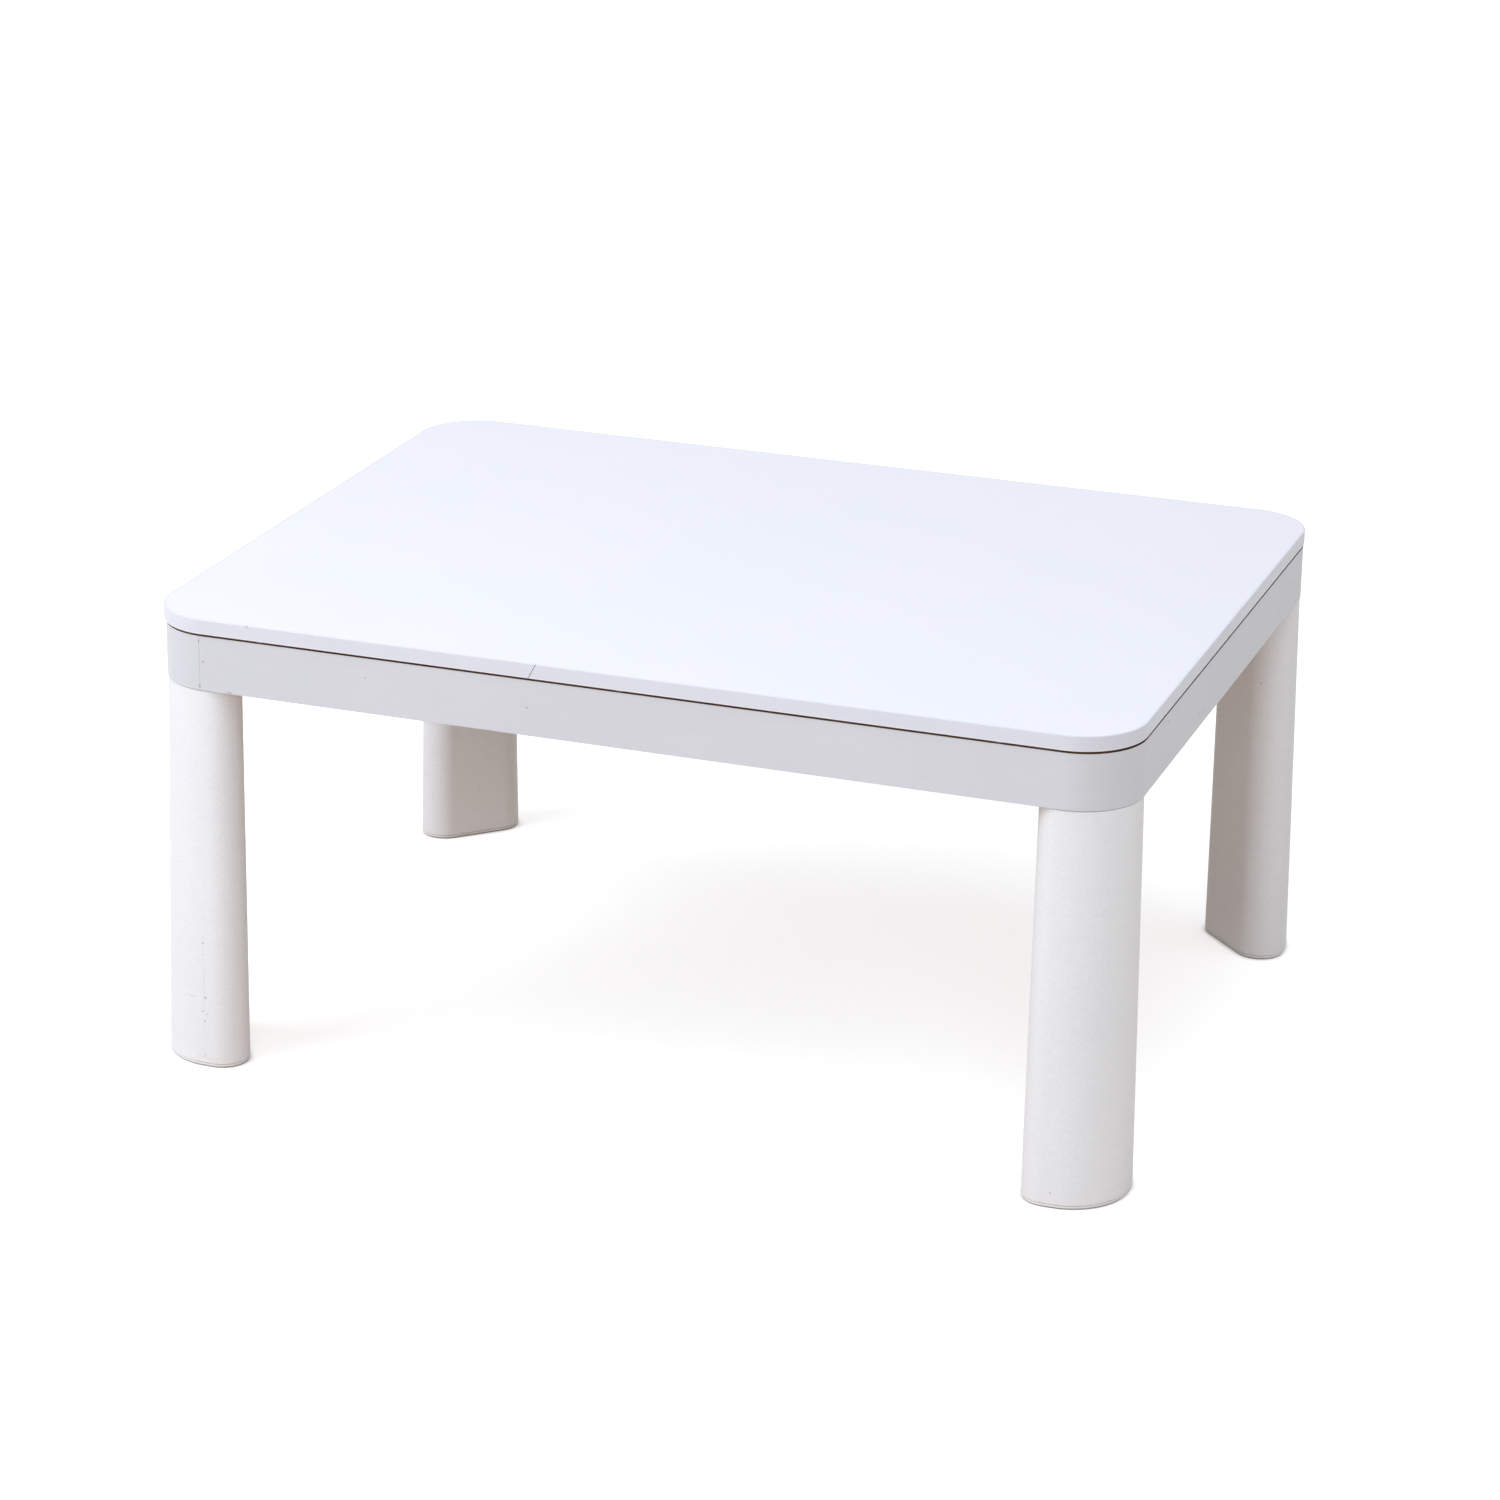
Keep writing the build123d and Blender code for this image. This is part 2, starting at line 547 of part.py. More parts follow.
def foot_cap():
    """Cap that closes a leg: a rounded sole and a skirt that plugs into the leg."""
    sole = foot_slice(CAP_INSET, FOOT_PAD_THICK, LEG_LOW)
    sole = chamfer(sole.edges().group_by(Axis.Z)[0], CAP_CHAMFER)
    gap = LEG_WALL + CAP_CLEAR
    skirt = foot_slice(gap, LEG_LOW, LEG_LOW + CAP_SKIRT)
    skirt -= foot_slice(gap + CAP_SKIRT_WALL, LEG_LOW, LEG_LOW + CAP_SKIRT)
    return sole + skirt


def foot_pad():
    """Thin pad under a cap."""
    return foot_slice(FOOT_PAD_INSET, 0, FOOT_PAD_THICK)


def leg_stud():
    """Stud from the leg's insert up through block, washer and wing nut."""
    stud = upright(STUD_IN, STUD_IN, STUD_RADIUS, LEG_HIGH - STUD_IN_LEG, STUD_HIGH)
    ends = stud.edges().group_by(Axis.Z)
    return chamfer(ends[0] + ends[-1], STUD_CHAMFER)


def leg_insert():
    """Threaded insert in the leg's boss."""
    insert = upright(STUD_IN, STUD_IN, INSERT_RADIUS, LEG_HIGH - INSERT_LONG, LEG_HIGH)
    return insert - upright(STUD_IN, STUD_IN, STUD_RADIUS + THREAD_CLEAR,
                            LEG_HIGH - INSERT_LONG, LEG_HIGH)


def leg_washer():
    """Flat washer under a wing nut."""
    washer = upright(STUD_IN, STUD_IN, WASHER_RADIUS, BLOCK_HIGH, BLOCK_HIGH + WASHER_THICK)
    return washer - upright(STUD_IN, STUD_IN, STUD_RADIUS + STUD_HOLE_CLEAR,
                            BLOCK_HIGH, BLOCK_HIGH + WASHER_THICK)


def wing_nut():
    """Wing nut: a tapered hub and two round wings that rise from it."""
    hub = Pos(0, 0, NUT_TALL / 2) * Cone(NUT_HUB_LOW, NUT_HUB_HIGH, NUT_TALL)
    centre = WING_REACH - WING_RADIUS
    level = NUT_TALL / 2 + WING_RISE
    root = Polyline((-NUT_HUB_HIGH, WING_ROOT), (NUT_HUB_HIGH, WING_ROOT))
    wings = make_hull([
        edge
        for side in (-1, 1)
        for edge in (Pos(side * centre, level) * Circle(WING_RADIUS)).edges()
    ] + root.edges())
    notch = Pos(0, level + WING_RADIUS) * Circle(WING_NOTCH)
    profile = Plane.XZ * (wings - notch)
    wings = extrude(profile, WING_THICK / 2, both=True)
    nut = hub + wings
    nut -= upright(0, 0, STUD_RADIUS + THREAD_CLEAR, 0, level + WING_RADIUS)
    return Pos(STUD_IN, STUD_IN, NUT_LOW) * Rot(0, 0, 45) * nut


# ---- Heater ----
def heater_case():
    """Pressed case, open below, with a flange that laps under the bay."""
    size = 2 * CASE_HALF
    case = slab(size, size, CASE_CORNER, FLANGE_LOW, CASE_HIGH)
    case = fillet(case.edges().group_by(Axis.Z)[-1], CASE_ROUND)
    case += slab(2 * FLANGE_HALF, 2 * FLANGE_HALF, CASE_CORNER, FLANGE_LOW, BAR_LOW)
    inside = slab(size - 2 * SHEET, size - 2 * SHEET, CASE_CORNER - SHEET, FLANGE_LOW,
                  CASE_HIGH - SHEET)
    case -= fillet(inside.edges().group_by(Axis.Z)[-1], CASE_ROUND - SHEET)
    for side_x in (-1, 1):
        for side_y in (-1, 1):
            case -= upright(side_x * heater_screw_x(), side_y * HEATER_SCREW_Y,
                            SCREW_RADIUS + JOINT_CLEAR, FLANGE_LOW, BAR_LOW)
    return case


def heat_shield():
    """Insulating plate under the roof of the case."""
    size = 2 * (CASE_IN - CASE_ROUND)
    return slab(size, size, CASE_CORNER - SHEET, SHIELD_LOW, CASE_HIGH - SHEET)


def partition():
    """Wall in front of the terminal compartment, with the holes of the two leads."""
    wall = block(-CASE_IN, CASE_IN, TERMINAL_FRONT, TERMINAL_FRONT + SHEET, COVER_HIGH, SHIELD_LOW)
    upper = wall.edges().filter_by(Axis.Y).group_by(Axis.Z)[-1]
    wall = chamfer(upper, CASE_ROUND - SHEET)
    for x, level in ((lead_out_x(), lead_low()), (lead_back_x(), lead_high())):
        wall -= bar_y(x, TERMINAL_FRONT, TERMINAL_FRONT + SHEET, level, LEAD_HOLE)
    return wall


def reflector():
    """Bright sheet bent into two troughs, one over each tube, with a lip front and back."""
    front = -CASE_IN
    start = front + REFLECTOR_LIP
    width = TROUGH - REFLECTOR_LIP
    valley = start + width
    second = valley + VALLEY
    end = second + width
    top = LIP_LEVEL + REFLECTOR_DEEP
    runs = []
    for level in (0, REFLECTOR_SHEET):
        low = LIP_LEVEL + level
        runs.append([
            Line((front, low), (start, low)),
            ThreePointArc((start, low), (start + width / 2, top + level), (valley, low)),
            Line((valley, low), (second, low)),
            ThreePointArc((second, low), (second + width / 2, top + level), (end, low)),
            Line((end, low), (TERMINAL_FRONT, low)),
        ])
    sides = [Line((y, LIP_LEVEL), (y, LIP_LEVEL + REFLECTOR_SHEET)) for y in (front, TERMINAL_FRONT)]
    section = make_face(Wire(runs[0] + runs[1] + sides))
    return extrude(Plane.YZ * section, REFLECTOR_HALF, both=True)


def tube_holders():
    """Four ceramic blocks on the case's end walls, each bored for one tube end."""
    holders = []
    for y in TUBE_Y:
        for side in (-1, 1):
            holder = block(*sorted((side * HOLDER_FACE, side * CASE_IN)),
                           y - HOLDER_WIDE / 2, y + HOLDER_WIDE / 2,
                           TUBE_LEVEL - HOLDER_TALL / 2, HOLDER_HIGH)
            mouth = sorted((side * HOLDER_FACE, side * (HOLDER_FACE + TUBE_SEAT)))
            holders.append(holder - bar_x(*mouth, y, TUBE_LEVEL, TUBE_RADIUS + HOLDER_CLEAR))
    return holders


def quartz_tube(y):
    """Glass tube round one coil, its ends in the holders."""
    half = HOLDER_FACE + TUBE_SEAT
    tube = bar_x(-half, half, y, TUBE_LEVEL, TUBE_RADIUS)
    return tube - bar_x(-half, half, y, TUBE_LEVEL, TUBE_RADIUS - TUBE_WALL)


def heating_coil(y):
    """Outer form of the wound coil in one tube, with its straight ends."""
    radius = TUBE_RADIUS - TUBE_WALL - COIL_CLEAR
    half = HOLDER_FACE + TUBE_SEAT
    coil = bar_x(-COIL_HALF, COIL_HALF, y, TUBE_LEVEL, radius)
    return coil + bar_x(-half, half, y, TUBE_LEVEL, LEAD_RADIUS)


def guard_wire(start, end, y, drop):
    """One dished wire along X from ring to ring, drawn at the given depth."""
    level = FLANGE_LOW - 2 * RING_RADIUS - WIRE_RADIUS + WELD
    points = [
        (start, y, level),
        (start + WIRE_RUN_IN, y, level),
        (start + WIRE_RUN_IN + WIRE_SLOPE, y, level - drop),
        (end - WIRE_RUN_IN - WIRE_SLOPE, y, level - drop),
        (end - WIRE_RUN_IN, y, level),
        (end, y, level),
    ]
    return wire(points, WIRE_RADIUS)


def heater_guard():
    """Welded guard: a round wire ring, dished wires along X and cross wires inside them."""
    side = CASE_IN + RING_OUT
    front = -side
    back = TERMINAL_FRONT + RING_OUT + RING_RADIUS
    middle = (front + back) / 2
    level = FLANGE_LOW - RING_RADIUS
    path = Pos(0, middle, level) * RectangleRounded(2 * side, back - front, RING_CORNER).wire()
    guard = sweep(Plane(origin=path @ 0, z_dir=path % 0) * Circle(RING_RADIUS), path=path)
    count = int((back - front - 2 * RING_CORNER) // WIRE_PITCH)
    wires = []
    for index in range(count + 1):
        y = middle + (index - count / 2) * WIRE_PITCH
        wires.append(guard_wire(-side, side, y, WIRE_DROP))
    rise = 2 * WIRE_RADIUS - WELD
    for index in range(CROSS_WIRES):
        cross = guard_wire(front, back, 0, WIRE_DROP - rise)
        wires.append(Pos(index * CROSS_PITCH - CROSS_OUTER, 0, 0) * Rot(0, 0, 90) * cross)
    return guard + wires


def guard_clip(side_y):
    """Strip that holds the guard's ring up against the flange or the cover."""
    ring = CASE_IN + RING_OUT if side_y < 0 else TERMINAL_FRONT + RING_OUT + RING_RADIUS
    near = ring + RING_RADIUS + CLIP_CLEAR
    low = FLANGE_LOW - 2 * RING_RADIUS - CLIP_CLEAR
    section = Polygon(
        (near + SHEET + CLIP_FOOT, FLANGE_LOW), (near, FLANGE_LOW), (near, low),
        (ring - RING_RADIUS, low), (ring - RING_RADIUS, low - SHEET), (near + SHEET, low - SHEET),
        (near + SHEET, FLANGE_LOW - SHEET), (near + SHEET + CLIP_FOOT, FLANGE_LOW - SHEET),
        align=None)
    clip = extrude(Plane.YZ * section, CLIP_WIDE / 2, both=True)
    return mirror(clip, Plane.XZ) if side_y < 0 else clip


# ---- Inlet and wiring ----
def terminal_cover():
    """Plate that closes the terminal compartment, cut out for the inlet."""
    cover = block(-CASE_IN + INLET_FIT, CASE_IN - INLET_FIT, TERMINAL_FRONT, CASE_IN - INLET_FIT,
                  FLANGE_LOW, COVER_HIGH)
    corners = cover.edges().filter_by(Axis.Z).group_by(Axis.Y)[-1]
    cover = fillet(corners, CASE_CORNER)
    half_x = INLET_WIDE / 2 + INLET_FIT
    half_y = INLET_DEEP / 2 + INLET_FIT
    return cover - block(-half_x, half_x, INLET_Y - half_y, INLET_Y + half_y,
                         FLANGE_LOW, COVER_HIGH)


def pin_places():
    """X of each inlet pin."""
    return [(index - (PIN_COUNT - 1) / 2) * PIN_PITCH for index in range(PIN_COUNT)]


def inlet_socket():
    """Shrouded inlet for the supply lead's connector, mouth down."""
    low = slab(INLET_WIDE, INLET_DEEP, 2 * INLET_WALL, FLANGE_LOW, COVER_HIGH)
    high = slab(INLET_WIDE + 2 * INLET_LEDGE, INLET_DEEP + 2 * INLET_LEDGE, 2 * INLET_WALL,
                COVER_HIGH, INLET_HIGH)
    cavity = slab(INLET_WIDE - 2 * INLET_WALL, INLET_DEEP - 2 * INLET_WALL, INLET_WALL,
                  FLANGE_LOW, CAVITY_HIGH)
    body = low + high - cavity
    for x in pin_places():
        body -= upright(x, 0, PIN_RADIUS + THREAD_CLEAR, CAVITY_HIGH, INLET_HIGH)
    return Pos(0, INLET_Y, 0) * body


def inlet_pins():
    """Contact pins, with tails for the leads above the socket."""
    pins = []
    for x in pin_places():
        pin = upright(x, INLET_Y, PIN_RADIUS, FLANGE_LOW + PIN_BACK, INLET_HIGH + PIN_TAIL)
        pins.append(chamfer(pin.edges().group_by(Axis.Z)[0], PIN_RADIUS / 2))
    return pins


def on_cover(x, size):
    """Box of a given size standing on the cover."""
    return block(x - size[0] / 2, x + size[0] / 2, INLET_Y - size[1] / 2, INLET_Y + size[1] / 2,
                 COVER_HIGH, COVER_HIGH + size[2])


def lead_out_x():
    """Line of the lead to the front tube, above the holders."""
    return CASE_IN - HOLDER_LONG / 4


def lead_back_x():
    """Line of the lead to the back tube."""
    return HOLDER_FACE + HOLDER_LONG / 4


def lead_low():
    """Level of the lead to the front tube."""
    return HOLDER_HIGH + LEAD_RISE


def lead_high():
    """Level of the lead to the back tube."""
    return SHIELD_LOW - LEAD_RISE / 2


def heater_leads():
    """Insulated leads: inlet to terminal block and thermostat, on to the tubes, and the link
    between the tubes' far ends."""
    pins = pin_places()
    tail = INLET_HIGH + PIN_TAIL
    crest = tail + LEAD_RISE
    block_high = COVER_HIGH + BLOCK_TERM[2]
    stat_high = COVER_HIGH + STAT_SIZE[2]
    front, back = TUBE_Y
    out_x = lead_out_x()
    back_x = lead_back_x()
    side = BLOCK_TERM_X + BLOCK_TERM[0] / 2
    middle = COVER_HIGH + BLOCK_TERM[2] / 2
    fuse_end = FUSE_X + FUSE_LONG / 2
    fuse_level = COVER_HIGH + FUSE_RADIUS
    fuse_drop = fuse_end + FUSE_LEAD
    stat_in = STAT_X - STAT_PITCH / 2
    stat_out = STAT_X + STAT_PITCH / 2
    routes = [
        [(pins[-1], INLET_Y, tail), (pins[-1], INLET_Y, crest), (stat_in, INLET_Y, crest),
         (stat_in, INLET_Y, stat_high)],
        [(stat_out, INLET_Y, stat_high), (stat_out, INLET_Y, lead_high()),
         (back_x, INLET_Y, lead_high()), (back_x, back, lead_high()), (back_x, back, HOLDER_HIGH)],
        [(side, INLET_Y, middle), (out_x, INLET_Y, middle), (out_x, INLET_Y, lead_low()),
         (out_x, front, lead_low()), (out_x, front, HOLDER_HIGH)],
        [(-out_x, front, HOLDER_HIGH), (-out_x, front, lead_low()), (-out_x, back, lead_low()),
         (-out_x, back, HOLDER_HIGH)],
        [(pins[0], INLET_Y, tail), (pins[0], INLET_Y, crest), (fuse_drop, INLET_Y, crest),
         (fuse_drop, INLET_Y, fuse_level), (fuse_end, INLET_Y, fuse_level)],
    ]
    return [wire(route, LEAD_RADIUS) for route in routes]


# ---- Screws of the heater ----
def heater_screw(side_x, side_y):
    """Pan-head screw up through the flange into a bar."""
    x = side_x * heater_screw_x()
    y = side_y * HEATER_SCREW_Y
    shank = upright(x, y, SCREW_RADIUS, FLANGE_LOW, FLANGE_LOW + HEATER_SCREW_LONG)
    head = upright(x, y, SCREW_HEAD_RADIUS, FLANGE_LOW - SCREW_HEAD, FLANGE_LOW)
    return shank + chamfer(head.edges().group_by(Axis.Z)[0], SCREW_HEAD / 3)


# ---- Build ----
PAIRS = [(side_x, side_y) for side_x in (-1, 1) for side_y in (-1, 1)]

save("top_edge_band", edge_band())
save("top_upper_laminate", board_layer(TABLE_HEIGHT - LAMINATE, TABLE_HEIGHT))
save("top_core", board_layer(TOP_LOW + LAMINATE, TABLE_HEIGHT - LAMINATE))
save("top_under_laminate", board_layer(TOP_LOW, TOP_LOW + LAMINATE))

save("apron_skin", apron_skin())
save("rail_front", long_rail(-1))
save("rail_back", long_rail(1))
save("rail_left", short_rail(-1))
save("rail_right", short_rail(1))
save("rest_pads", Compound(children=rest_pads()))
save("heater_bar_left", heater_bar(-1))
save("heater_bar_right", heater_bar(1))
save("bay_piece_front", bay_piece(-1))
save("bay_piece_back", bay_piece(1))
save("frame_dowels", Compound(children=frame_dowels()))

block_screw_list = []
for name, (side_x, side_y) in CORNERS.items():
    save(f"corner_bend_{name}", at_corner(corner_bend(), side_x, side_y))
    save(f"corner_block_{name}", at_corner(corner_block(), side_x, side_y))
    save(f"leg_{name}", at_corner(leg_shell(), side_x, side_y))
    save(f"foot_cap_{name}", at_corner(foot_cap(), side_x, side_y))
    save(f"wing_nut_{name}", at_corner(wing_nut(), side_x, side_y))
    block_screw_list += [at_corner(screw, side_x, side_y) for screw in block_screws()]
save("block_screws", Compound(children=block_screw_list))
for name, maker in (("foot_pads", foot_pad), ("leg_studs", leg_stud),
                    ("leg_inserts", leg_insert), ("leg_washers", leg_washer)):
    save(name, Compound(children=[at_corner(maker(), *pair) for pair in PAIRS]))

save("heater_case", heater_case())
save("heat_shield", heat_shield())
save("heater_partition", partition())
save("reflector", reflector())
save("tube_holders", Compound(children=tube_holders()))
for name, y in zip(("front", "back"), TUBE_Y):
    save(f"quartz_tube_{name}", quartz_tube(y))
    save(f"heating_coil_{name}", heating_coil(y))
save("heater_guard", heater_guard())
save("guard_clips", Compound(children=[
    Pos(x, 0, 0) * guard_clip(side_y) for x in (-CLIP_X, CLIP_X) for side_y in (-1, 1)]))
save("terminal_cover", terminal_cover())
save("inlet_socket", inlet_socket())
save("inlet_pins", Compound(children=inlet_pins()))
save("terminal_block", on_cover(BLOCK_TERM_X, BLOCK_TERM))
save("thermostat", on_cover(STAT_X, STAT_SIZE))
save("thermal_fuse", bar_x(FUSE_X - FUSE_LONG / 2, FUSE_X + FUSE_LONG / 2, INLET_Y,
                           COVER_HIGH + FUSE_RADIUS, FUSE_RADIUS))
save("heater_leads", Compound(children=heater_leads()))
save("heater_screws", Compound(children=[heater_screw(*pair) for pair in PAIRS]))
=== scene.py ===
from math import atan2, cos, pi, radians, tan

import bmesh
import bpy
from mathutils import Matrix, Vector


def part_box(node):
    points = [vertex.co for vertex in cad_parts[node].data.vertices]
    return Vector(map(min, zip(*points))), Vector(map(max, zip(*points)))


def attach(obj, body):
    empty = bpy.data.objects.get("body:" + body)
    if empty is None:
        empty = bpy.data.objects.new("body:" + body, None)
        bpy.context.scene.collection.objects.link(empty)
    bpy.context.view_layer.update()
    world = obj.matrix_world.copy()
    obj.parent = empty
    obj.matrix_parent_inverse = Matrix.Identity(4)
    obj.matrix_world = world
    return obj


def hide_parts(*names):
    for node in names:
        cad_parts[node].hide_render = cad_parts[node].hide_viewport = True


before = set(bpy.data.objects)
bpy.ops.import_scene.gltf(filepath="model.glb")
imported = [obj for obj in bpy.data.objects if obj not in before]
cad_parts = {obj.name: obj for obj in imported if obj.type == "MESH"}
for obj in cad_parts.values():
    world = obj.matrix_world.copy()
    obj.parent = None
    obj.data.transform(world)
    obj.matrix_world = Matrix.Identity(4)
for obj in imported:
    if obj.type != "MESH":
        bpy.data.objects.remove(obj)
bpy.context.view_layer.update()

# Kotatsu table: a loose board on a low heated frame. Metres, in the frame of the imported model.

MM = 0.001
APRON_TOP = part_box("apron_skin")[1].z
BAND_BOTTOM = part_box("top_edge_band")[0].z

# ---- Sizes that repeat the model's, for the pieces made here ----
BOARD_CORNER = 52 * MM
BAND_WALL = 1.6 * MM
BAND_ROUND = 0.5 * MM
BAND_JOIN_X = -69.5 * MM
BAND_JOIN_GAP = 0.5 * MM
BAND_JOIN_LEAN = radians(28)
LAMINATE_EDGE = 0.12 * MM
APRON_CORNER = 50.5 * MM
WRAP_WALL = 1.2 * MM
WRAP_ROUND = 0.3 * MM
WRAP_JOIN_IN = 47.5 * MM
WRAP_JOIN_GAP = 0.16 * MM
WRAP_REACH = 1 * MM  # how much further out the right side stands

LEG_TOP_INSET = 0.8 * MM
LEG_FLARE = 5.8 * MM
LEG_SPREAD = 3.3 * MM
LEG_FLAT = 0.7 * MM
LEG_TIP = 21 * MM
LEG_CORNER = APRON_CORNER - 2 * MM
TIP_TANGENT = 1 / tan(pi / 8)
LEG_SIDE = LEG_CORNER + LEG_FLAT + TIP_TANGENT * LEG_TIP
FOOT_GROWTH = 2 * LEG_FLARE - (TIP_TANGENT - 1) * LEG_SPREAD
LEG_EDGE = 0.5 * MM
SEAM_STEP = 0.6 * MM
SEAM_INSET = 1.8 * MM
SOLE_TALL = 2.3 * MM
SOLE_NECK = 0.4 * MM
SOLE_INSET = 0.3 * MM
SOLE_ROUND = 0.5 * MM
SOLE_EDGE = 0.15 * MM

TUBE_RADIUS = 5.5 * MM
TUBE_WALL = 1 * MM
COIL_WIRE = 0.38 * MM
COIL_PITCH = 2.9 * MM
COIL_TAIL = 14 * MM
RING_RADIUS = 2 * MM
RING_CORNER = 14 * MM
WIRE_RADIUS = 1.2 * MM
WIRE_PITCH = 16 * MM
WIRE_DROP = 9.5 * MM
WIRE_SLOPE = 14 * MM
WIRE_RUN_IN = 9 * MM
WIRE_BEND = 6 * MM
WELD = 0.4 * MM
CROSS_PITCH = 72 * MM
STUD_RADIUS = 4 * MM
STUD_CHAMFER = 1 * MM
THREAD_PITCH = 1.25 * MM
THREAD_DEPTH = 0.65 * MM
THREAD_TURNS = 11
SCREW_RADIUS = 2 * MM
HEAD_RADIUS = 4 * MM
HEAD_TALL = 2.4 * MM
HEAD_ROUND = 1.5 * MM
CROSS_REACH = 2.1 * MM
CROSS_WIDE = 0.9 * MM
CROSS_DEEP = 1.5 * MM

# ---- Fineness of curves, merges and cuts ----
CORNER_STEPS = 20
TIP_STEPS = 22
ROUND_STEPS = 4
WIRE_SIDES = 12
TUBE_SIDES = 40
COIL_SIDES = 6
COIL_STEPS = 14
THREAD_STEPS = 24
SMOOTH_BELOW = radians(35)
MERGE = 0.002 * MM
CUT = 1e-7

CORNERS = {
    "front_left": (-1, -1),
    "front_right": (1, -1),
    "back_right": (1, 1),
    "back_left": (-1, 1),
}


# ---- Node helpers ----
NUMBER = "NodeSocketFloat"
PLACE = "NodeSocketVector"


def ink(red, green, blue):
    """Colour from 0 to 255 as it looks on screen, made linear."""
    def linear(value):
        share = value / 255
        return share / 12.92 if share <= 0.04045 else ((share + 0.055) / 1.055) ** 2.4
    return (linear(red), linear(green), linear(blue), 1)


def add(tree, kind, settings=None, inputs=None):
    """Adds a node, sets its properties, and fills or links its inputs by name."""
    made = tree.nodes.new(kind)
    for key, value in (settings or {}).items():
        setattr(made, key, value)
    for key, value in (inputs or {}).items():
        if isinstance(value, bpy.types.NodeSocket):
            tree.links.new(value, made.inputs[key])
        else:
            made.inputs[key].default_value = value
    return made


def calculate(tree, operation, first, second=0.0):
    """Result of one sum on two values."""
    made = add(tree, "ShaderNodeMath", {"operation": operation}, {0: first, 1: second})
    return made.outputs[0]


def spread(tree, value, low, high, to_low=0.0, to_high=1.0):
    """Maps a value from one range to another, without leaving it."""
    made = add(tree, "ShaderNodeMapRange", None, {
        "Value": value, "From Min": low, "From Max": high, "To Min": to_low, "To Max": to_high})
    return made.outputs[0]


def between(tree, share, low, high):
    """Value between two values."""
    return spread(tree, share, 0.0, 1.0, low, high)


def stretched(tree, place, scale, turn=(0, 0, 0)):
    """Place scaled along its axes, or turned."""
    made = add(tree, "ShaderNodeMapping", None, {"Vector": place, "Scale": scale, "Rotation": turn})
    return made.outputs[0]


def noise(tree, vector, scale, detail=3.0, roughness=0.5):
    """Plain noise."""
    made = add(tree, "ShaderNodeTexNoise", None, {
        "Vector": vector, "Scale": scale, "Detail": detail, "Roughness": roughness})
    return made.outputs["Fac"]


def weigh(tree, first, second, share=0.7):
    """Sum of two values, of which the first has that share."""
    return calculate(tree, "ADD", calculate(tree, "MULTIPLY", first, share),
                     calculate(tree, "MULTIPLY", second, 1 - share))


def blend_colours(tree, share, first, second):
    """Colour between two colours."""
    made = add(tree, "ShaderNodeMix", {"data_type": "RGBA"})
    for index, value in ((0, share), (6, first), (7, second)):
        if isinstance(value, bpy.types.NodeSocket):
            tree.links.new(value, made.inputs[index])
        else:
            made.inputs[index].default_value = value
    return made.outputs[2]


def group(name, inputs, outputs):
    """Starts a node group with a place and other named sockets; returns its tree and two ends."""
    tree = bpy.data.node_groups.new(name, "ShaderNodeTree")
    for label, kind, value in [("Place", PLACE, None), *inputs]:
        socket = tree.interface.new_socket(name=label, in_out="INPUT", socket_type=kind)
        if value is not None:
            socket.default_value = value
    for label in outputs:
        tree.interface.new_socket(name=label, in_out="OUTPUT", socket_type="NodeSocketFloat")
    return tree, tree.nodes.new("NodeGroupInput").outputs, tree.nodes.new("NodeGroupOutput").inputs


def use(tree, shared, inputs):
    """Places a shared group in a material."""
    made = add(tree, "ShaderNodeGroup", {"node_tree": shared}, inputs)
    return made.outputs


# ---- Shared effects ----
def moulded_grain():
    """Fine pebbled grain of moulded plastic and of foils."""
    tree, given, result = group("moulded_grain", [("Scale", NUMBER, 900.0)], ["Height"])
    pebbles = add(tree, "ShaderNodeTexVoronoi", {"feature": "SMOOTH_F1"}, {
        "Vector": given["Place"], "Scale": given["Scale"], "Smoothness": 0.6})
    fine = noise(tree, given["Place"], calculate(tree, "MULTIPLY", given["Scale"], 2.3), 2.0)
    tree.links.new(weigh(tree, pebbles.outputs["Distance"], fine), result["Height"])
    return tree


def handling():
    """Broad soft patches where hands and cloths have polished or dulled a surface."""
    tree, given, result = group("handling", [("Scale", NUMBER, 9.0)], ["Patches"])
    wide = noise(tree, given["Place"], given["Scale"], 4.0, 0.55)
    streaks = stretched(tree, given["Place"], (1.0, 1.0, 5.0))
    narrow = noise(tree, streaks, calculate(tree, "MULTIPLY", given["Scale"], 4.0), 3.0)
    tree.links.new(spread(tree, weigh(tree, wide, narrow), 0.35, 0.65), result["Patches"])
    return tree


def hairlines():
    """Sparse fine scratches."""
    tree, given, result = group("hairlines", [
        ("Scale", NUMBER, 14.0), ("Width", NUMBER, 0.012)], ["Lines"])
    bent = add(tree, "ShaderNodeVectorMath", {"operation": "ADD"}, {0: given["Place"]})
    warp = add(tree, "ShaderNodeTexNoise", None, {
        "Vector": given["Place"], "Scale": 3.0, "Detail": 1.0})
    tree.links.new(warp.outputs["Color"], bent.inputs[1])
    cells = add(tree, "ShaderNodeTexVoronoi", {"feature": "DISTANCE_TO_EDGE"}, {
        "Vector": bent.outputs[0], "Scale": given["Scale"]})
    line = spread(tree, cells.outputs["Distance"], 0.0, given["Width"], 1.0, 0.0)
    gaps = spread(tree, noise(tree, given["Place"], 31.0, 2.0), 0.56, 0.68)
    tree.links.new(calculate(tree, "MULTIPLY", line, gaps), result["Lines"])
    return tree


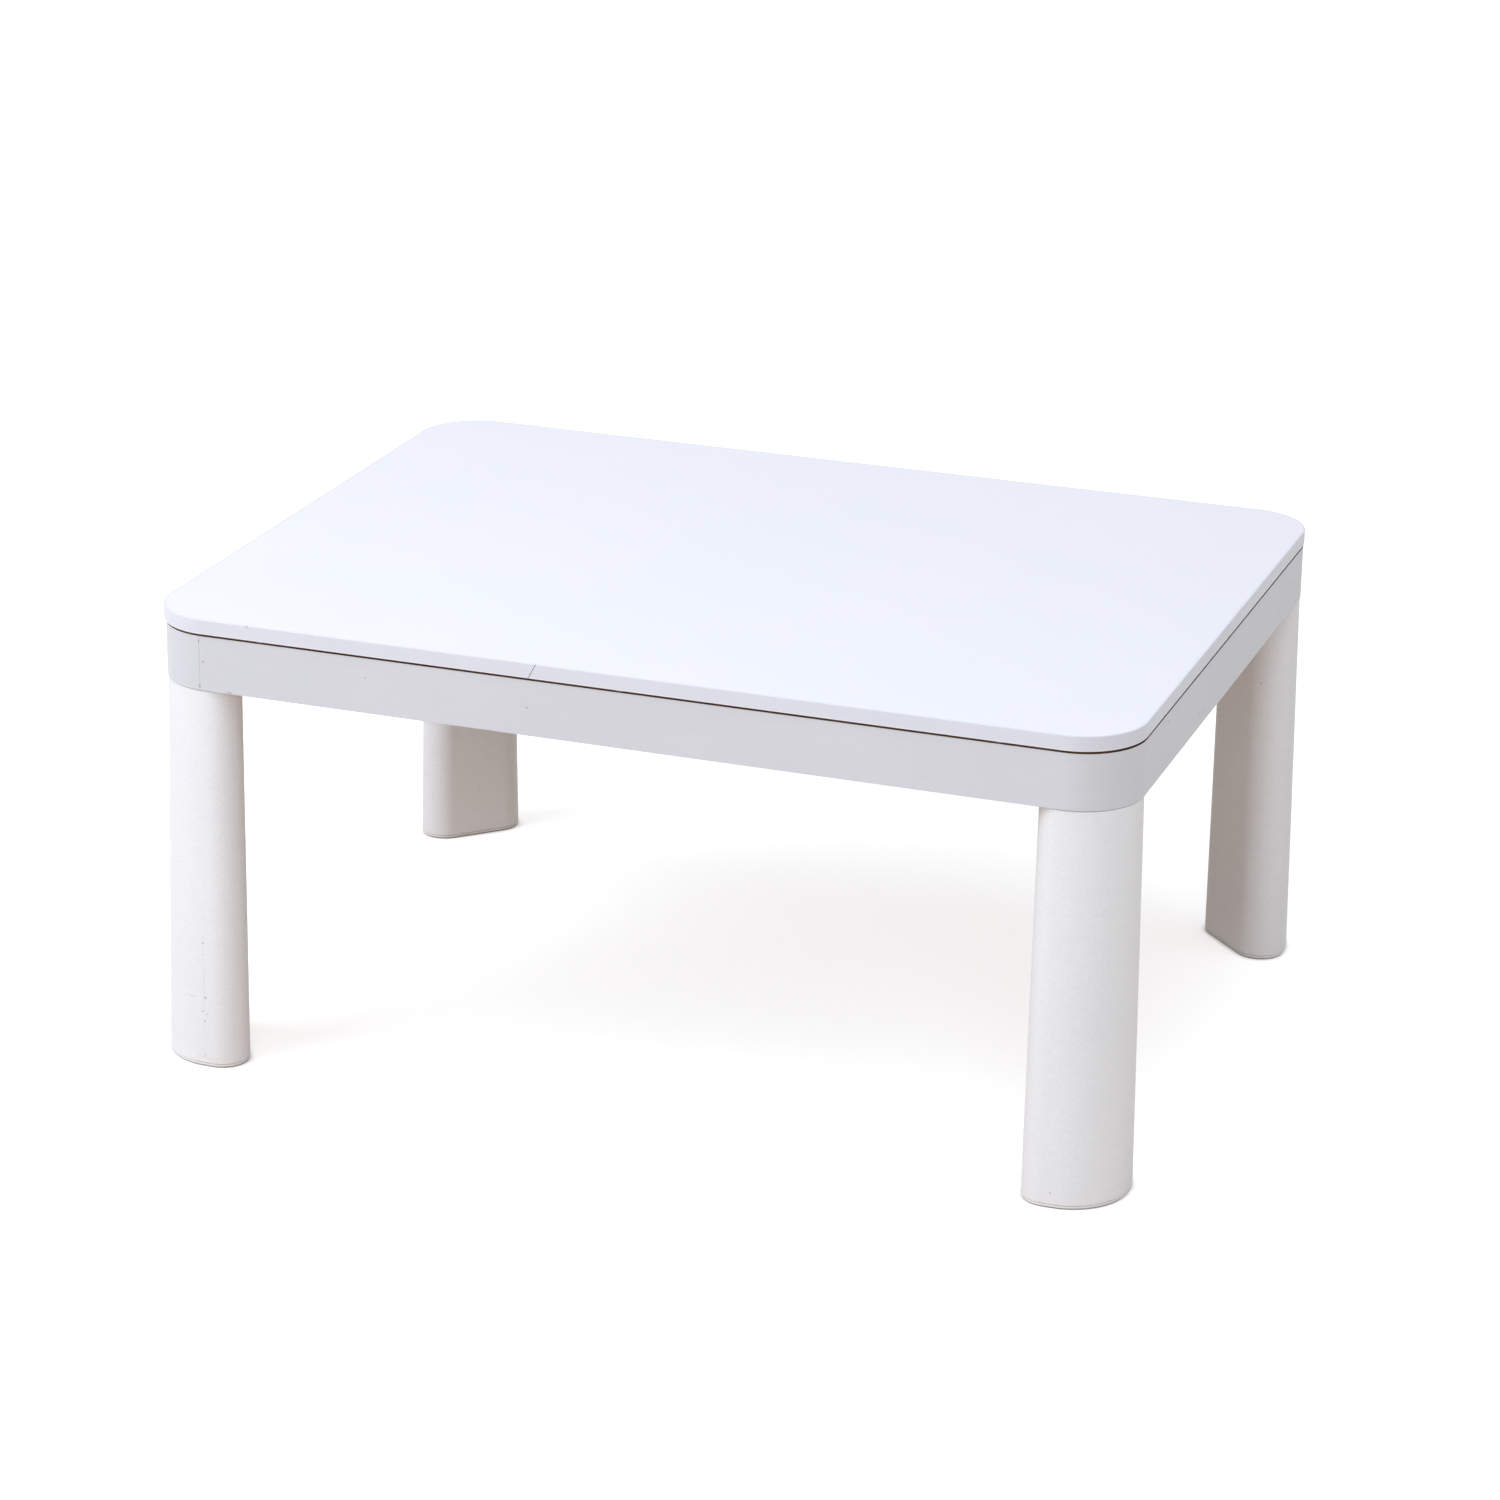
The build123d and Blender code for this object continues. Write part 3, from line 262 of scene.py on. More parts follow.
def mark():
    """One small round or drawn-out mark at a given place, with a ragged edge."""
    tree, given, result = group("mark", [
        ("Middle", PLACE, (0, 0, 0)), ("Reach", PLACE, (1, 1, 1)), ("Ragged", NUMBER, 0.0)],
        ["Mark"])
    away = add(tree, "ShaderNodeVectorMath", {"operation": "SUBTRACT"}, {
        0: given["Place"], 1: given["Middle"]})
    scaled = add(tree, "ShaderNodeVectorMath", {"operation": "DIVIDE"}, {
        0: away.outputs[0], 1: given["Reach"]})
    length = add(tree, "ShaderNodeVectorMath", {"operation": "LENGTH"}, {0: scaled.outputs[0]})
    edge = calculate(tree, "ADD", length.outputs["Value"], given["Ragged"])
    tree.links.new(spread(tree, edge, 1.45, 0.9), result["Mark"])
    return tree


def wood_figure():
    """Year rings and pores of planed wood, along the Y of the given place."""
    tree, given, result = group("wood_figure", [("Scale", NUMBER, 60.0)], ["Rings", "Pores"])
    drawn = stretched(tree, given["Place"], (1.0, 0.06, 1.0))
    warp = add(tree, "ShaderNodeTexNoise", None, {"Vector": drawn, "Scale": 22.0, "Detail": 3.0})
    bent = add(tree, "ShaderNodeVectorMath", {"operation": "MULTIPLY_ADD"}, {
        0: warp.outputs["Color"], 1: (0.03, 0.03, 0.03), 2: drawn})
    rings = add(tree, "ShaderNodeTexWave", {
        "wave_type": "RINGS", "rings_direction": "Y", "wave_profile": "SAW"}, {
        "Vector": bent.outputs[0], "Scale": given["Scale"], "Distortion": 1.5, "Detail": 2.0})
    tree.links.new(rings.outputs["Fac"], result["Rings"])
    fibres = noise(tree, drawn, 900.0, 2.0)
    tree.links.new(spread(tree, fibres, 0.52, 0.72), result["Pores"])
    return tree


GRAIN = moulded_grain()
HANDLING = handling()
HAIRLINES = hairlines()
MARK = mark()
WOOD_FIGURE = wood_figure()


# ---- Materials ----
def finish(name, **values):
    """New material with one Principled shader, and the place on the surface."""
    made = bpy.data.materials.new(name)
    made.use_nodes = True
    tree = made.node_tree
    shader = tree.nodes["Principled BSDF"]
    for key, value in values.items():
        shader.inputs[key.replace("_", " ")].default_value = value
    place = tree.nodes.new("ShaderNodeTexCoord").outputs["Object"]
    return made, tree, shader, place


def dress(tree, shader, colour, height, depth, rough=None):
    """Feeds the shader a colour, a height as bump with its real depth in metres, and a roughness
    where it varies."""
    bump = add(tree, "ShaderNodeBump", None, {"Height": height, "Distance": depth})
    tree.links.new(colour, shader.inputs["Base Color"])
    tree.links.new(bump.outputs[0], shader.inputs["Normal"])
    if rough is not None:
        tree.links.new(rough, shader.inputs["Roughness"])


def worn(tree, place, scale):
    """Patches of handling at a scale."""
    return use(tree, HANDLING, {"Place": place, "Scale": scale})["Patches"]


def pebbled(tree, place, scale):
    """Height of moulded grain at a scale."""
    return use(tree, GRAIN, {"Place": place, "Scale": scale})["Height"]


def scratched(tree, place, scale, width):
    """Fine scratches at a scale."""
    return use(tree, HAIRLINES, {"Place": place, "Scale": scale, "Width": width})["Lines"]


def height_of(tree, place):
    """Height of a place above the floor."""
    return add(tree, "ShaderNodeSeparateXYZ", None, {0: place}).outputs["Z"]


def darken_marks(tree, place, colour, stain, marks):
    """Lays small marks of one stain colour over a colour: middle, reach and strength of each."""
    ragged = calculate(tree, "MULTIPLY", noise(tree, place, 900.0, 2.0), 0.9)
    for middle, reach, strength in marks:
        spot = use(tree, MARK, {
            "Place": place, "Middle": [value * MM for value in middle],
            "Reach": [value * MM for value in reach], "Ragged": ragged})["Mark"]
        colour = blend_colours(tree, calculate(tree, "MULTIPLY", spot, strength), colour, stain)
    return colour


def board_laminate():
    """Satin melamine of the board's upper face."""
    made, tree, shader, place = finish("board_laminate", IOR=1.5)
    patches = worn(tree, place, 4.0)
    lines = scratched(tree, place, 6.0, 0.004)
    colour = blend_colours(tree, patches, ink(233, 234, 242), ink(236, 236, 245))
    rough = calculate(tree, "ADD", between(tree, patches, 0.36, 0.42),
                      calculate(tree, "MULTIPLY", lines, 0.1))
    dress(tree, shader, colour, pebbled(tree, place, 520.0), 0.012 * MM, rough)
    return made


def edge_band():
    """Plastic band round the board, with a painted highlight along its lower rim."""
    made, tree, shader, place = finish("board_edge", IOR=1.48)
    # Lighter colour over the lowest 1.6 mm of the band: a painted highlight along its lower rim.
    rim = spread(tree, height_of(tree, place), BAND_BOTTOM + 1.6 * MM, BAND_BOTTOM + 0.6 * MM)
    patches = worn(tree, place, 14.0)
    colour = blend_colours(tree, patches, ink(221, 224, 235), ink(224, 227, 238))
    colour = blend_colours(tree, rim, colour, ink(236, 237, 246))
    colour = darken_marks(tree, place, colour, ink(120, 114, 112), BAND_MARKS)
    dress(tree, shader, colour, pebbled(tree, place, 1100.0), 0.025 * MM,
          between(tree, patches, 0.4, 0.5))
    return made


def apron_wrap():
    """Satin foil round the frame, with a few small knocks, and its top edge painted dark brown: its
    bare core, darkened with painted shade of the gap under the board.
    """
    made, tree, shader, place = finish("apron_wrap", IOR=1.46)
    patches = worn(tree, place, 7.0)
    lines = scratched(tree, place, 9.0, 0.006)
    colour = blend_colours(tree, patches, ink(212, 215, 222), ink(216, 219, 225))
    colour = blend_colours(tree, calculate(tree, "MULTIPLY", lines, 0.25), colour,
                           ink(196, 194, 193))
    colour = darken_marks(tree, place, colour, ink(120, 112, 106), APRON_MARKS)
    # Dark brown over the topmost 0.1 mm: the bare core, darkened with painted shade of the gap under
    # the board.
    core = spread(tree, height_of(tree, place), APRON_TOP - 0.1 * MM, APRON_TOP - 0.03 * MM)
    colour = blend_colours(tree, core, colour, ink(84, 60, 44))
    dress(tree, shader, colour, pebbled(tree, place, 1100.0), 0.035 * MM,
          between(tree, patches, 0.44, 0.52))
    return made


def leg_plastic():
    """Matt moulded plastic of the legs."""
    made, tree, shader, place = finish("leg_plastic", IOR=1.47)
    patches = worn(tree, place, 10.0)
    lines = scratched(tree, place, 17.0, 0.012)
    grain = pebbled(tree, place, 850.0)
    shade = calculate(tree, "ADD", calculate(tree, "MULTIPLY", patches, 0.3),
                      spread(tree, grain, 0.25, 0.55, 0.0, 0.7))
    colour = blend_colours(tree, shade, ink(231, 234, 239), ink(242, 245, 249))
    colour = blend_colours(tree, calculate(tree, "MULTIPLY", lines, 0.2), colour,
                           ink(205, 200, 196))
    colour = darken_marks(tree, place, colour, ink(140, 133, 128), LEG_MARKS)
    dress(tree, shader, colour, grain, 0.09 * MM, between(tree, patches, 0.5, 0.6))
    return made


def plain_plastic(name, first, second, rough, scale=900.0, depth=0.02 * MM):
    """Moulded plastic in two close shades."""
    made, tree, shader, place = finish(name, IOR=1.47)
    patches = worn(tree, place, 20.0)
    dress(tree, shader, blend_colours(tree, patches, first, second), pebbled(tree, place, scale),
          depth, between(tree, patches, rough - 0.04, rough + 0.05))
    return made


def planed_wood(name, dark, light, turn):
    """Planed light wood, its grain turned to run along the piece."""
    made, tree, shader, place = finish(name, IOR=1.5)
    along = stretched(tree, place, (1, 1, 1), turn)
    figure = use(tree, WOOD_FIGURE, {"Place": along, "Scale": 55.0})
    colour = blend_colours(tree, figure["Rings"], light, dark)
    colour = blend_colours(tree, calculate(tree, "MULTIPLY", figure["Pores"], 0.35), colour,
                           ink(104, 74, 48))
    relief = calculate(tree, "SUBTRACT", figure["Rings"], figure["Pores"])
    dress(tree, shader, colour, relief, 0.05 * MM, between(tree, figure["Rings"], 0.6, 0.72))
    return made


def felt(name, dark, light):
    """Pressed felt: matted fibres with a soft sheen."""
    made, tree, shader, place = finish(name, Roughness=0.95, Sheen_Weight=0.35,
                                       Sheen_Roughness=0.5)
    fibres = add(tree, "ShaderNodeTexNoise", None, {
        "Vector": place, "Scale": 1600.0, "Detail": 5.0, "Distortion": 2.5}).outputs["Fac"]
    dress(tree, shader, blend_colours(tree, fibres, dark, light), fibres, 0.2 * MM)
    return made


def metal(name, first, second, rough, scale=160.0, stretch=(1, 1, 1), depth=0.01 * MM):
    """Bare or plated metal with fine tool marks."""
    made, tree, shader, place = finish(name, Metallic=1.0)
    marks = noise(tree, stretched(tree, place, stretch), scale, 4.0, 0.6)
    shade = spread(tree, noise(tree, place, 38.0, 3.0), 0.35, 0.65)
    dress(tree, shader, blend_colours(tree, shade, first, second), marks, depth,
          spread(tree, marks, 0.3, 0.7, rough * 0.75, rough * 1.3))
    return made


def enamel():
    """Dark heat-proof paint with a fine wrinkle."""
    made, tree, shader, place = finish("case_enamel", IOR=1.5)
    wrinkle = noise(tree, place, 1400.0, 3.0, 0.6)
    patches = worn(tree, place, 16.0)
    dress(tree, shader, blend_colours(tree, patches, ink(52, 52, 54), ink(60, 60, 61)), wrinkle,
          0.05 * MM, between(tree, patches, 0.48, 0.58))
    return made


def mineral(name, dark, light, rough, depth=0.08 * MM):
    """Dry mineral surface, such as ceramic or pressed board."""
    made, tree, shader, place = finish(name, Roughness=rough)
    specks = noise(tree, place, 700.0, 5.0, 0.65)
    colour = blend_colours(tree, spread(tree, specks, 0.3, 0.7), dark, light)
    dress(tree, shader, colour, specks, depth)
    return made


def quartz():
    """Clear quartz with faint drawing lines along the tube."""
    made, tree, shader, place = finish("quartz_glass", Roughness=0.03, IOR=1.46,
                                       Transmission_Weight=1.0)
    lines = noise(tree, stretched(tree, place, (0.04, 1.0, 1.0)), 900.0, 2.0)
    colour = blend_colours(tree, lines, ink(246, 247, 246), ink(252, 252, 251))
    dress(tree, shader, colour, lines, 0.01 * MM)
    return made


def braid():
    """Woven glass sleeve of the leads."""
    made, tree, shader, place = finish("lead_braid", Roughness=0.85, Sheen_Weight=0.2)
    strands = [add(tree, "ShaderNodeTexWave", {"bands_direction": "DIAGONAL"}, {
        "Vector": vector, "Scale": 420.0}).outputs["Fac"]
        for vector in (place, stretched(tree, place, (-1.0, 1.0, 1.0)))]
    weave = calculate(tree, "MAXIMUM", *strands)
    colour = blend_colours(tree, weave, ink(176, 170, 156), ink(222, 218, 206))
    dress(tree, shader, colour, weave, 0.15 * MM)
    return made


# Small knocks and rub marks, in millimetres: middle, how far each reaches, and strength.
BAND_MARKS = [
    ((-308.5, -299.6, 379.4), (1.3, 2.0, 0.9), 0.5),
    ((400.0, -202.7, 369.3), (2.0, 2.4, 0.8), 0.6),
    ((400.0, -7.3, 370.0), (2.0, 1.8, 0.8), 0.5),
]
APRON_MARKS = [
    ((-347.7, -298.5, 344.9), (1.0, 2.0, 1.0), 0.7),
    ((-209.1, -298.5, 350.0), (0.8, 2.0, 0.8), 0.6),
    ((-74.5, -298.5, 343.9), (0.9, 2.0, 0.9), 0.7),
    ((-325.4, -298.5, 322.3), (3.2, 2.0, 0.9), 0.4),
    ((-351.0, -298.5, 361.5), (1.0, 2.0, 1.8), 0.5),
    ((-351.2, -298.5, 324.5), (1.0, 2.0, 2.0), 0.5),
    ((399.5, 172.0, 336.0), (2.0, 0.9, 2.4), 0.6),
    ((399.5, -186.7, 336.5), (2.0, 0.8, 2.2), 0.5),
    ((399.5, -184.8, 358.7), (2.0, 1.8, 1.2), 0.6),
    ((399.5, 6.9, 323.0), (2.0, 2.2, 0.9), 0.4),
    ((399.5, -89.0, 333.4), (2.0, 5.0, 0.7), 0.35),
    ((399.5, -79.0, 330.9), (2.0, 5.0, 0.7), 0.35),
    ((399.5, -69.0, 328.6), (2.0, 5.0, 0.7), 0.35),
]
LEG_MARKS = [
    ((-352.7, -302.5, 59.9), (1.3, 2.0, 0.8), 0.85),
    ((-355.6, -302.6, 48.1), (0.7, 2.0, 0.7), 0.8),
    ((-351.2, -302.7, 46.2), (0.7, 2.0, 0.7), 0.8),
    ((-353.6, -302.9, 39.7), (0.7, 2.0, 0.7), 0.8),
    ((-353.8, -303.4, 10.6), (0.7, 2.0, 0.7), 0.8),
    ((-354.0, -301.6, 106.8), (0.8, 3.0, 1.1), 0.6),
    ((-353.7, -302.3, 70.0), (0.9, 3.0, 62.0), 0.09),
    ((-364.6, -301.0, 59.5), (6.5, 3.0, 0.6), 0.25),
    ((354.5, -303.4, 12.8), (0.7, 2.0, 0.7), 0.8),
    ((375.8, 227.4, 250.8), (1.0, 2.0, 1.0), 0.5),
]

FINISHES = {
    "board_laminate": board_laminate(),
    "board_edge": edge_band(),
    "apron_wrap": apron_wrap(),
    "leg_plastic": leg_plastic(),
    "foot_plastic": plain_plastic("foot_plastic", ink(238, 241, 241), ink(243, 245, 245), 0.5),
    "under_laminate": plain_plastic("under_laminate", ink(166, 140, 110), ink(174, 148, 118), 0.6,
                                    500.0),
    "inlet_plastic": plain_plastic("inlet_plastic", ink(34, 34, 35), ink(40, 40, 41), 0.45),
    "wood_along_x": planed_wood("wood_along_x", ink(140, 102, 64), ink(178, 139, 95),
                                (0, 0, pi / 2)),
    "wood_along_y": planed_wood("wood_along_y", ink(142, 104, 66), ink(180, 141, 97), (0, 0, 0)),
    "wood_across": planed_wood("wood_across", ink(138, 100, 63), ink(176, 137, 94),
                               (0, 0, pi / 4)),
    "board_core": mineral("board_core", ink(150, 116, 80), ink(176, 142, 102), 0.9),
    "rest_felt": felt("rest_felt", ink(196, 195, 190), ink(232, 231, 226)),
    "foot_felt": felt("foot_felt", ink(70, 62, 55), ink(112, 102, 92)),
    "plated_steel": metal("plated_steel", ink(176, 178, 180), ink(196, 197, 196), 0.32, 700.0),
    "wing_nut_zinc": metal("wing_nut_zinc", ink(182, 184, 187), ink(200, 201, 201), 0.4, 900.0,
                           depth=0.04 * MM),
    "insert_brass": metal("insert_brass", ink(190, 154, 88), ink(206, 172, 104), 0.3),
    "pin_brass": metal("pin_brass", ink(204, 172, 106), ink(220, 190, 124), 0.22),
    "sheet_steel": metal("sheet_steel", ink(160, 161, 162), ink(180, 181, 181), 0.38, 90.0,
                         (1, 12, 1)),
    "bright_aluminium": metal("bright_aluminium", ink(214, 216, 218), ink(226, 227, 228), 0.16,
                              60.0, (1, 30, 30)),
    "guard_chrome": metal("guard_chrome", ink(206, 208, 211), ink(222, 223, 225), 0.1, 300.0,
                          depth=0.002 * MM),
    "coil_wire": metal("coil_wire", ink(96, 86, 78), ink(132, 120, 108), 0.5, 900.0),
    "case_enamel": enamel(),
    "mineral_board": mineral("mineral_board", ink(170, 165, 156), ink(196, 191, 182), 0.95),
    "holder_ceramic": mineral("holder_ceramic", ink(222, 218, 208), ink(238, 234, 225), 0.6,
                              0.03 * MM),
    "quartz_glass": quartz(),
    "lead_braid": braid(),
}


# ---- Mesh helpers ----
def of_kind(geometry, kind):
    """The vertices, edges or faces among what an operator returned."""
    return [item for item in geometry if isinstance(item, kind)]


def outwards(bm):
    """Points all faces outwards."""
    bmesh.ops.recalc_face_normals(bm, faces=bm.faces)


def with_rims(faces):
    """Faces together with their edges and vertices."""
    return (faces + list({edge for face in faces for edge in face.edges})
            + list({vert for face in faces for vert in face.verts}))


def as_mesh(name, bm):
    """Turns a bmesh into a mesh."""
    mesh = bpy.data.meshes.new(name)
    bm.to_mesh(mesh)
    bm.free()
    return mesh


def merged_copy(node):
    """Copy of a CAD node's mesh, its loose triangles merged."""
    bm = bmesh.new()
    bm.from_mesh(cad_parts[node].data)
    bmesh.ops.remove_doubles(bm, verts=bm.verts, dist=MERGE)
    return bm


def in_scene(name, data):
    """New object in the scene."""
    made = bpy.data.objects.new(name, data)
    bpy.context.scene.collection.objects.link(made)
    return made


def piece(name, bm, slot, body, nodes, surface=None):
    """Makes a bmesh a piece of the table: its finish, its body and the nodes it stands for."""
    mesh = as_mesh(name, bm)
    made = in_scene(name, mesh)
    mesh.materials.append(FINISHES[surface or slot])
    mesh.shade_smooth()
    mesh.set_sharp_from_angle(angle=SMOOTH_BELOW)
    even = made.modifiers.new("even_shading", "WEIGHTED_NORMAL")
    even.keep_sharp = True
    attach(made, body)
    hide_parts(*nodes)


def extrude_up(bm, height):
    """Gives a flat shape its thickness, upwards or downwards, and returns the moved vertices."""
    grown = bmesh.ops.extrude_face_region(bm, geom=bm.faces[:])["geom"]
    moved = of_kind(grown, bmesh.types.BMVert)
    bmesh.ops.translate(bm, vec=(0, 0, height), verts=moved)
    outwards(bm)
    return moved


def round_off(bm, edges, radius, steps=ROUND_STEPS):
    """Rounds some edges."""
    bmesh.ops.bevel(bm, geom=edges, offset=radius, offset_type="OFFSET", segments=steps,
                    profile=0.5, affect="EDGES", clamp_overlap=True, loop_slide=True, material=-1)


def sharp_edges(bm, angle=60):
    """Edges where two faces meet at more than an angle."""
    return [edge for edge in bm.edges
            if edge.is_manifold and edge.calc_face_angle() > radians(angle)]


def rounded_face(width, depth, corner, level):
    """Flat rectangle with round corners, centred on the table."""
    bm = bmesh.new()
    bmesh.ops.create_grid(bm, x_segments=1, y_segments=1, size=0.5)
    bmesh.ops.scale(bm, vec=(width, depth, 1), verts=bm.verts)
    bmesh.ops.translate(bm, vec=(0, 0, level), verts=bm.verts)
    bmesh.ops.bevel(bm, geom=bm.verts[:], offset=corner, offset_type="OFFSET",
                    segments=CORNER_STEPS, profile=0.5, affect="VERTICES", material=-1)
    return bm


def inside_outline(point, size, corner):
    """How far a point lies inside the outline of a rounded rectangle, seen from above."""
    across = max(abs(point.x) - size.x / 2 + corner, 0)
    along = max(abs(point.y) - size.y / 2 + corner, 0)
    return corner - (across ** 2 + along ** 2) ** 0.5


def rounded_ring(low, high, corner, wall, rounding):
    """Upright ring between two corners of its box, its outer edges rounded."""
    size = high - low
    bm = rounded_face(size.x, size.y, corner, low.z)
    middle = bm.faces[:]
    bmesh.ops.inset_region(bm, faces=middle, thickness=wall, use_boundary=True,
                           use_even_offset=True)
    bmesh.ops.delete(bm, geom=middle, context="FACES")
    extrude_up(bm, size.z)
    outer = [edge for edge in sharp_edges(bm)
             if all(abs(inside_outline(vert.co, size, corner)) < 0.02 * MM for vert in edge.verts)]
    round_off(bm, outer, rounding)
    return bm


def cut_join(bm, middle, gap, lean):
    """Cuts a narrow leaning gap through the front side of a ring."""
    across = Matrix.Rotation(lean, 3, "Y") @ Vector((1, 0, 0))
    for side in (-1, 1):
        near = [face for face in bm.faces if face.calc_center_median().y < middle.y + 10 * MM]
        bmesh.ops.bisect_plane(bm, geom=with_rims(near), dist=CUT,
                               plane_co=middle + side * gap / 2 * across, plane_no=across)
    strip = [face for face in bm.faces
             if abs((face.calc_center_median() - middle).dot(across)) < gap / 2
             and face.calc_center_median().y < middle.y + 10 * MM]
    bmesh.ops.delete(bm, geom=strip, context="FACES")
    bmesh.ops.edgeloop_fill(bm, edges=[edge for edge in bm.edges if edge.is_boundary])
    outwards(bm)


# ---- Board and apron ----
band_low, band_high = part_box("top_edge_band")
band = rounded_ring(band_low, band_high, BOARD_CORNER, BAND_WALL, BAND_ROUND)
cut_join(band, Vector((BAND_JOIN_X, band_low.y, (band_low.z + band_high.z) / 2)),
         BAND_JOIN_GAP, BAND_JOIN_LEAN)
piece("board_edge_band", band, "board_edge", "top_board", ["top_edge_band"])

face_low, face_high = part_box("top_upper_laminate")
face = rounded_face(face_high.x - face_low.x, face_high.y - face_low.y, BOARD_CORNER - BAND_WALL,
                    face_low.z)
extrude_up(face, face_high.z - face_low.z)
round_off(face, sharp_edges(face), LAMINATE_EDGE, 2)
piece("board_face", face, "board_laminate", "top_board", ["top_upper_laminate"])

wrap_low, wrap_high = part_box("apron_skin")
wrap = rounded_ring(wrap_low, wrap_high, APRON_CORNER, WRAP_WALL, WRAP_ROUND)
for vert in wrap.verts:
    if (vert.co.x > 0
            and inside_outline(vert.co, wrap_high - wrap_low, APRON_CORNER) < WRAP_WALL / 2):
        vert.co.x += WRAP_REACH
join_x = wrap_low.x + WRAP_JOIN_IN + WRAP_JOIN_GAP / 2
cut_join(wrap, Vector((join_x, wrap_low.y, (wrap_low.z + wrap_high.z) / 2)), WRAP_JOIN_GAP, 0)
piece("apron_foil", wrap, "apron_wrap", "frame", ["apron_skin"])


# ---- Legs ----
def leg_face(inset, flare, growth, level):
    """Flat outline of a leg: a right triangle with a wide outer corner and two round tips, drawn
    that far inside. In corner measure, from the ring's outer faces inwards."""
    bm = bmesh.new()
    start = LEG_TOP_INSET - flare + inset
    side = LEG_SIDE + growth - (1 + TIP_TANGENT) * inset
    tip = LEG_TIP - inset
    corner = LEG_CORNER - inset
    near = start + tip
    far = start + side - TIP_TANGENT * tip
    slant = tip * cos(pi / 4)
    arcs = (
        ((start, start + corner), (start + corner, start + corner), pi / 2, CORNER_STEPS),
        ((far, start), (far, near), 3 * pi / 4, TIP_STEPS),
        ((near + slant, far + slant), (near, far), 3 * pi / 4, TIP_STEPS),
    )
    ends = []
    for first, centre, angle, steps in arcs:
        begin = bm.verts.new((*first, level))
        spun = bmesh.ops.spin(bm, geom=[begin], cent=(*centre, level), axis=(0, 0, 1), angle=angle,
                              steps=steps, use_merge=False)
        ends.append((begin, of_kind(spun["geom_last"], bmesh.types.BMVert)[0]))
    for index, (begin, _) in enumerate(ends):
        bm.edges.new((ends[index - 1][1], begin))
    bmesh.ops.contextual_create(bm, geom=bm.edges[:])
    return bm


def at_corner(bm, side_x, side_y):
    """Moves a piece in corner measure to one corner of the ring."""
    bmesh.ops.translate(bm, vec=(wrap_low.x, wrap_low.y, 0), verts=bm.verts)
    bmesh.ops.scale(bm, vec=(-side_x, -side_y, 1), verts=bm.verts)
    outwards(bm)
    return bm


def level_edges(bm, level):
    """Sharp edges that lie at one level."""
    return [edge for edge in sharp_edges(bm, 45)
            if all(abs(vert.co.z - level) < 0.01 * MM for vert in edge.verts)]


def joined(*parts):
    """One bmesh of several closed shapes."""
    bm = bmesh.new()
    for part in parts:
        mesh = as_mesh("part", part)
        bm.from_mesh(mesh)
        bpy.data.meshes.remove(mesh)
    return bm


def leg_shell(low, high, reach):
    """Drafted leg with a shadow step at its top and broken edges, its top that far out in X."""
    shoulder = high - SEAM_STEP
    bm = leg_face(0, 0, 0, shoulder)
    turn = (LEG_CORNER + LEG_TOP_INSET + LEG_SIDE + LEG_TOP_INSET - TIP_TANGENT * LEG_TIP) / 2
    for vert in extrude_up(bm, low - shoulder):
        shift_x = FOOT_GROWTH if vert.co.x > turn else 0
        shift_y = FOOT_GROWTH if vert.co.y > turn else 0
        vert.co += Vector((shift_x - LEG_FLARE, shift_y - LEG_FLARE, 0))
    round_off(bm, level_edges(bm, shoulder) + level_edges(bm, low), LEG_EDGE)
    crown = leg_face(SEAM_INSET, 0, 0, shoulder)
    extrude_up(crown, SEAM_STEP)
    leg = joined(bm, crown)
    for vert in leg.verts:
        if vert.co.x < turn:
            vert.co.x -= reach * (vert.co.z - low) / (high - low)
    return leg


def foot_sole(low, high):
    """Sole of a foot cap, with a shadow groove under the leg and rounded towards the floor."""
    rim = high - SOLE_NECK
    bm = leg_face(SOLE_INSET, LEG_FLARE, FOOT_GROWTH, rim)
    extrude_up(bm, low - rim)
    round_off(bm, level_edges(bm, low), SOLE_ROUND)
    round_off(bm, level_edges(bm, rim), SOLE_EDGE, 2)
    neck = leg_face(SEAM_INSET, LEG_FLARE, FOOT_GROWTH, rim)
    extrude_up(neck, SOLE_NECK)
    return joined(bm, neck)


leg_high = wrap_low.z
pad_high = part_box("foot_pads")[1].z
leg_low = pad_high + SOLE_TALL
for place, sides in CORNERS.items():
    shell = leg_shell(leg_low, leg_high, WRAP_REACH if sides[0] > 0 else 0)
    piece(f"leg_shell_{place}", at_corner(shell, *sides), "leg_plastic", "frame", [f"leg_{place}"])
    piece(f"foot_sole_{place}", at_corner(foot_sole(pad_high, leg_low), *sides), "foot_plastic",
          "frame", [f"foot_cap_{place}"])


# ---- Copies of CAD nodes with smooth curves and broken edges ----
def smooth_copy(name, node, slot, body="frame", edge=0.0, surface=None):
    """Smooth copy of a node, its sharp edges broken by that width."""
    bm = merged_copy(node)
    bmesh.ops.dissolve_limit(bm, angle_limit=radians(0.6), verts=bm.verts, edges=bm.edges,
                             delimit=set())
    if edge:
        round_off(bm, sharp_edges(bm, 40), edge, 2)
    piece(name, bm, slot, body, [node], surface)


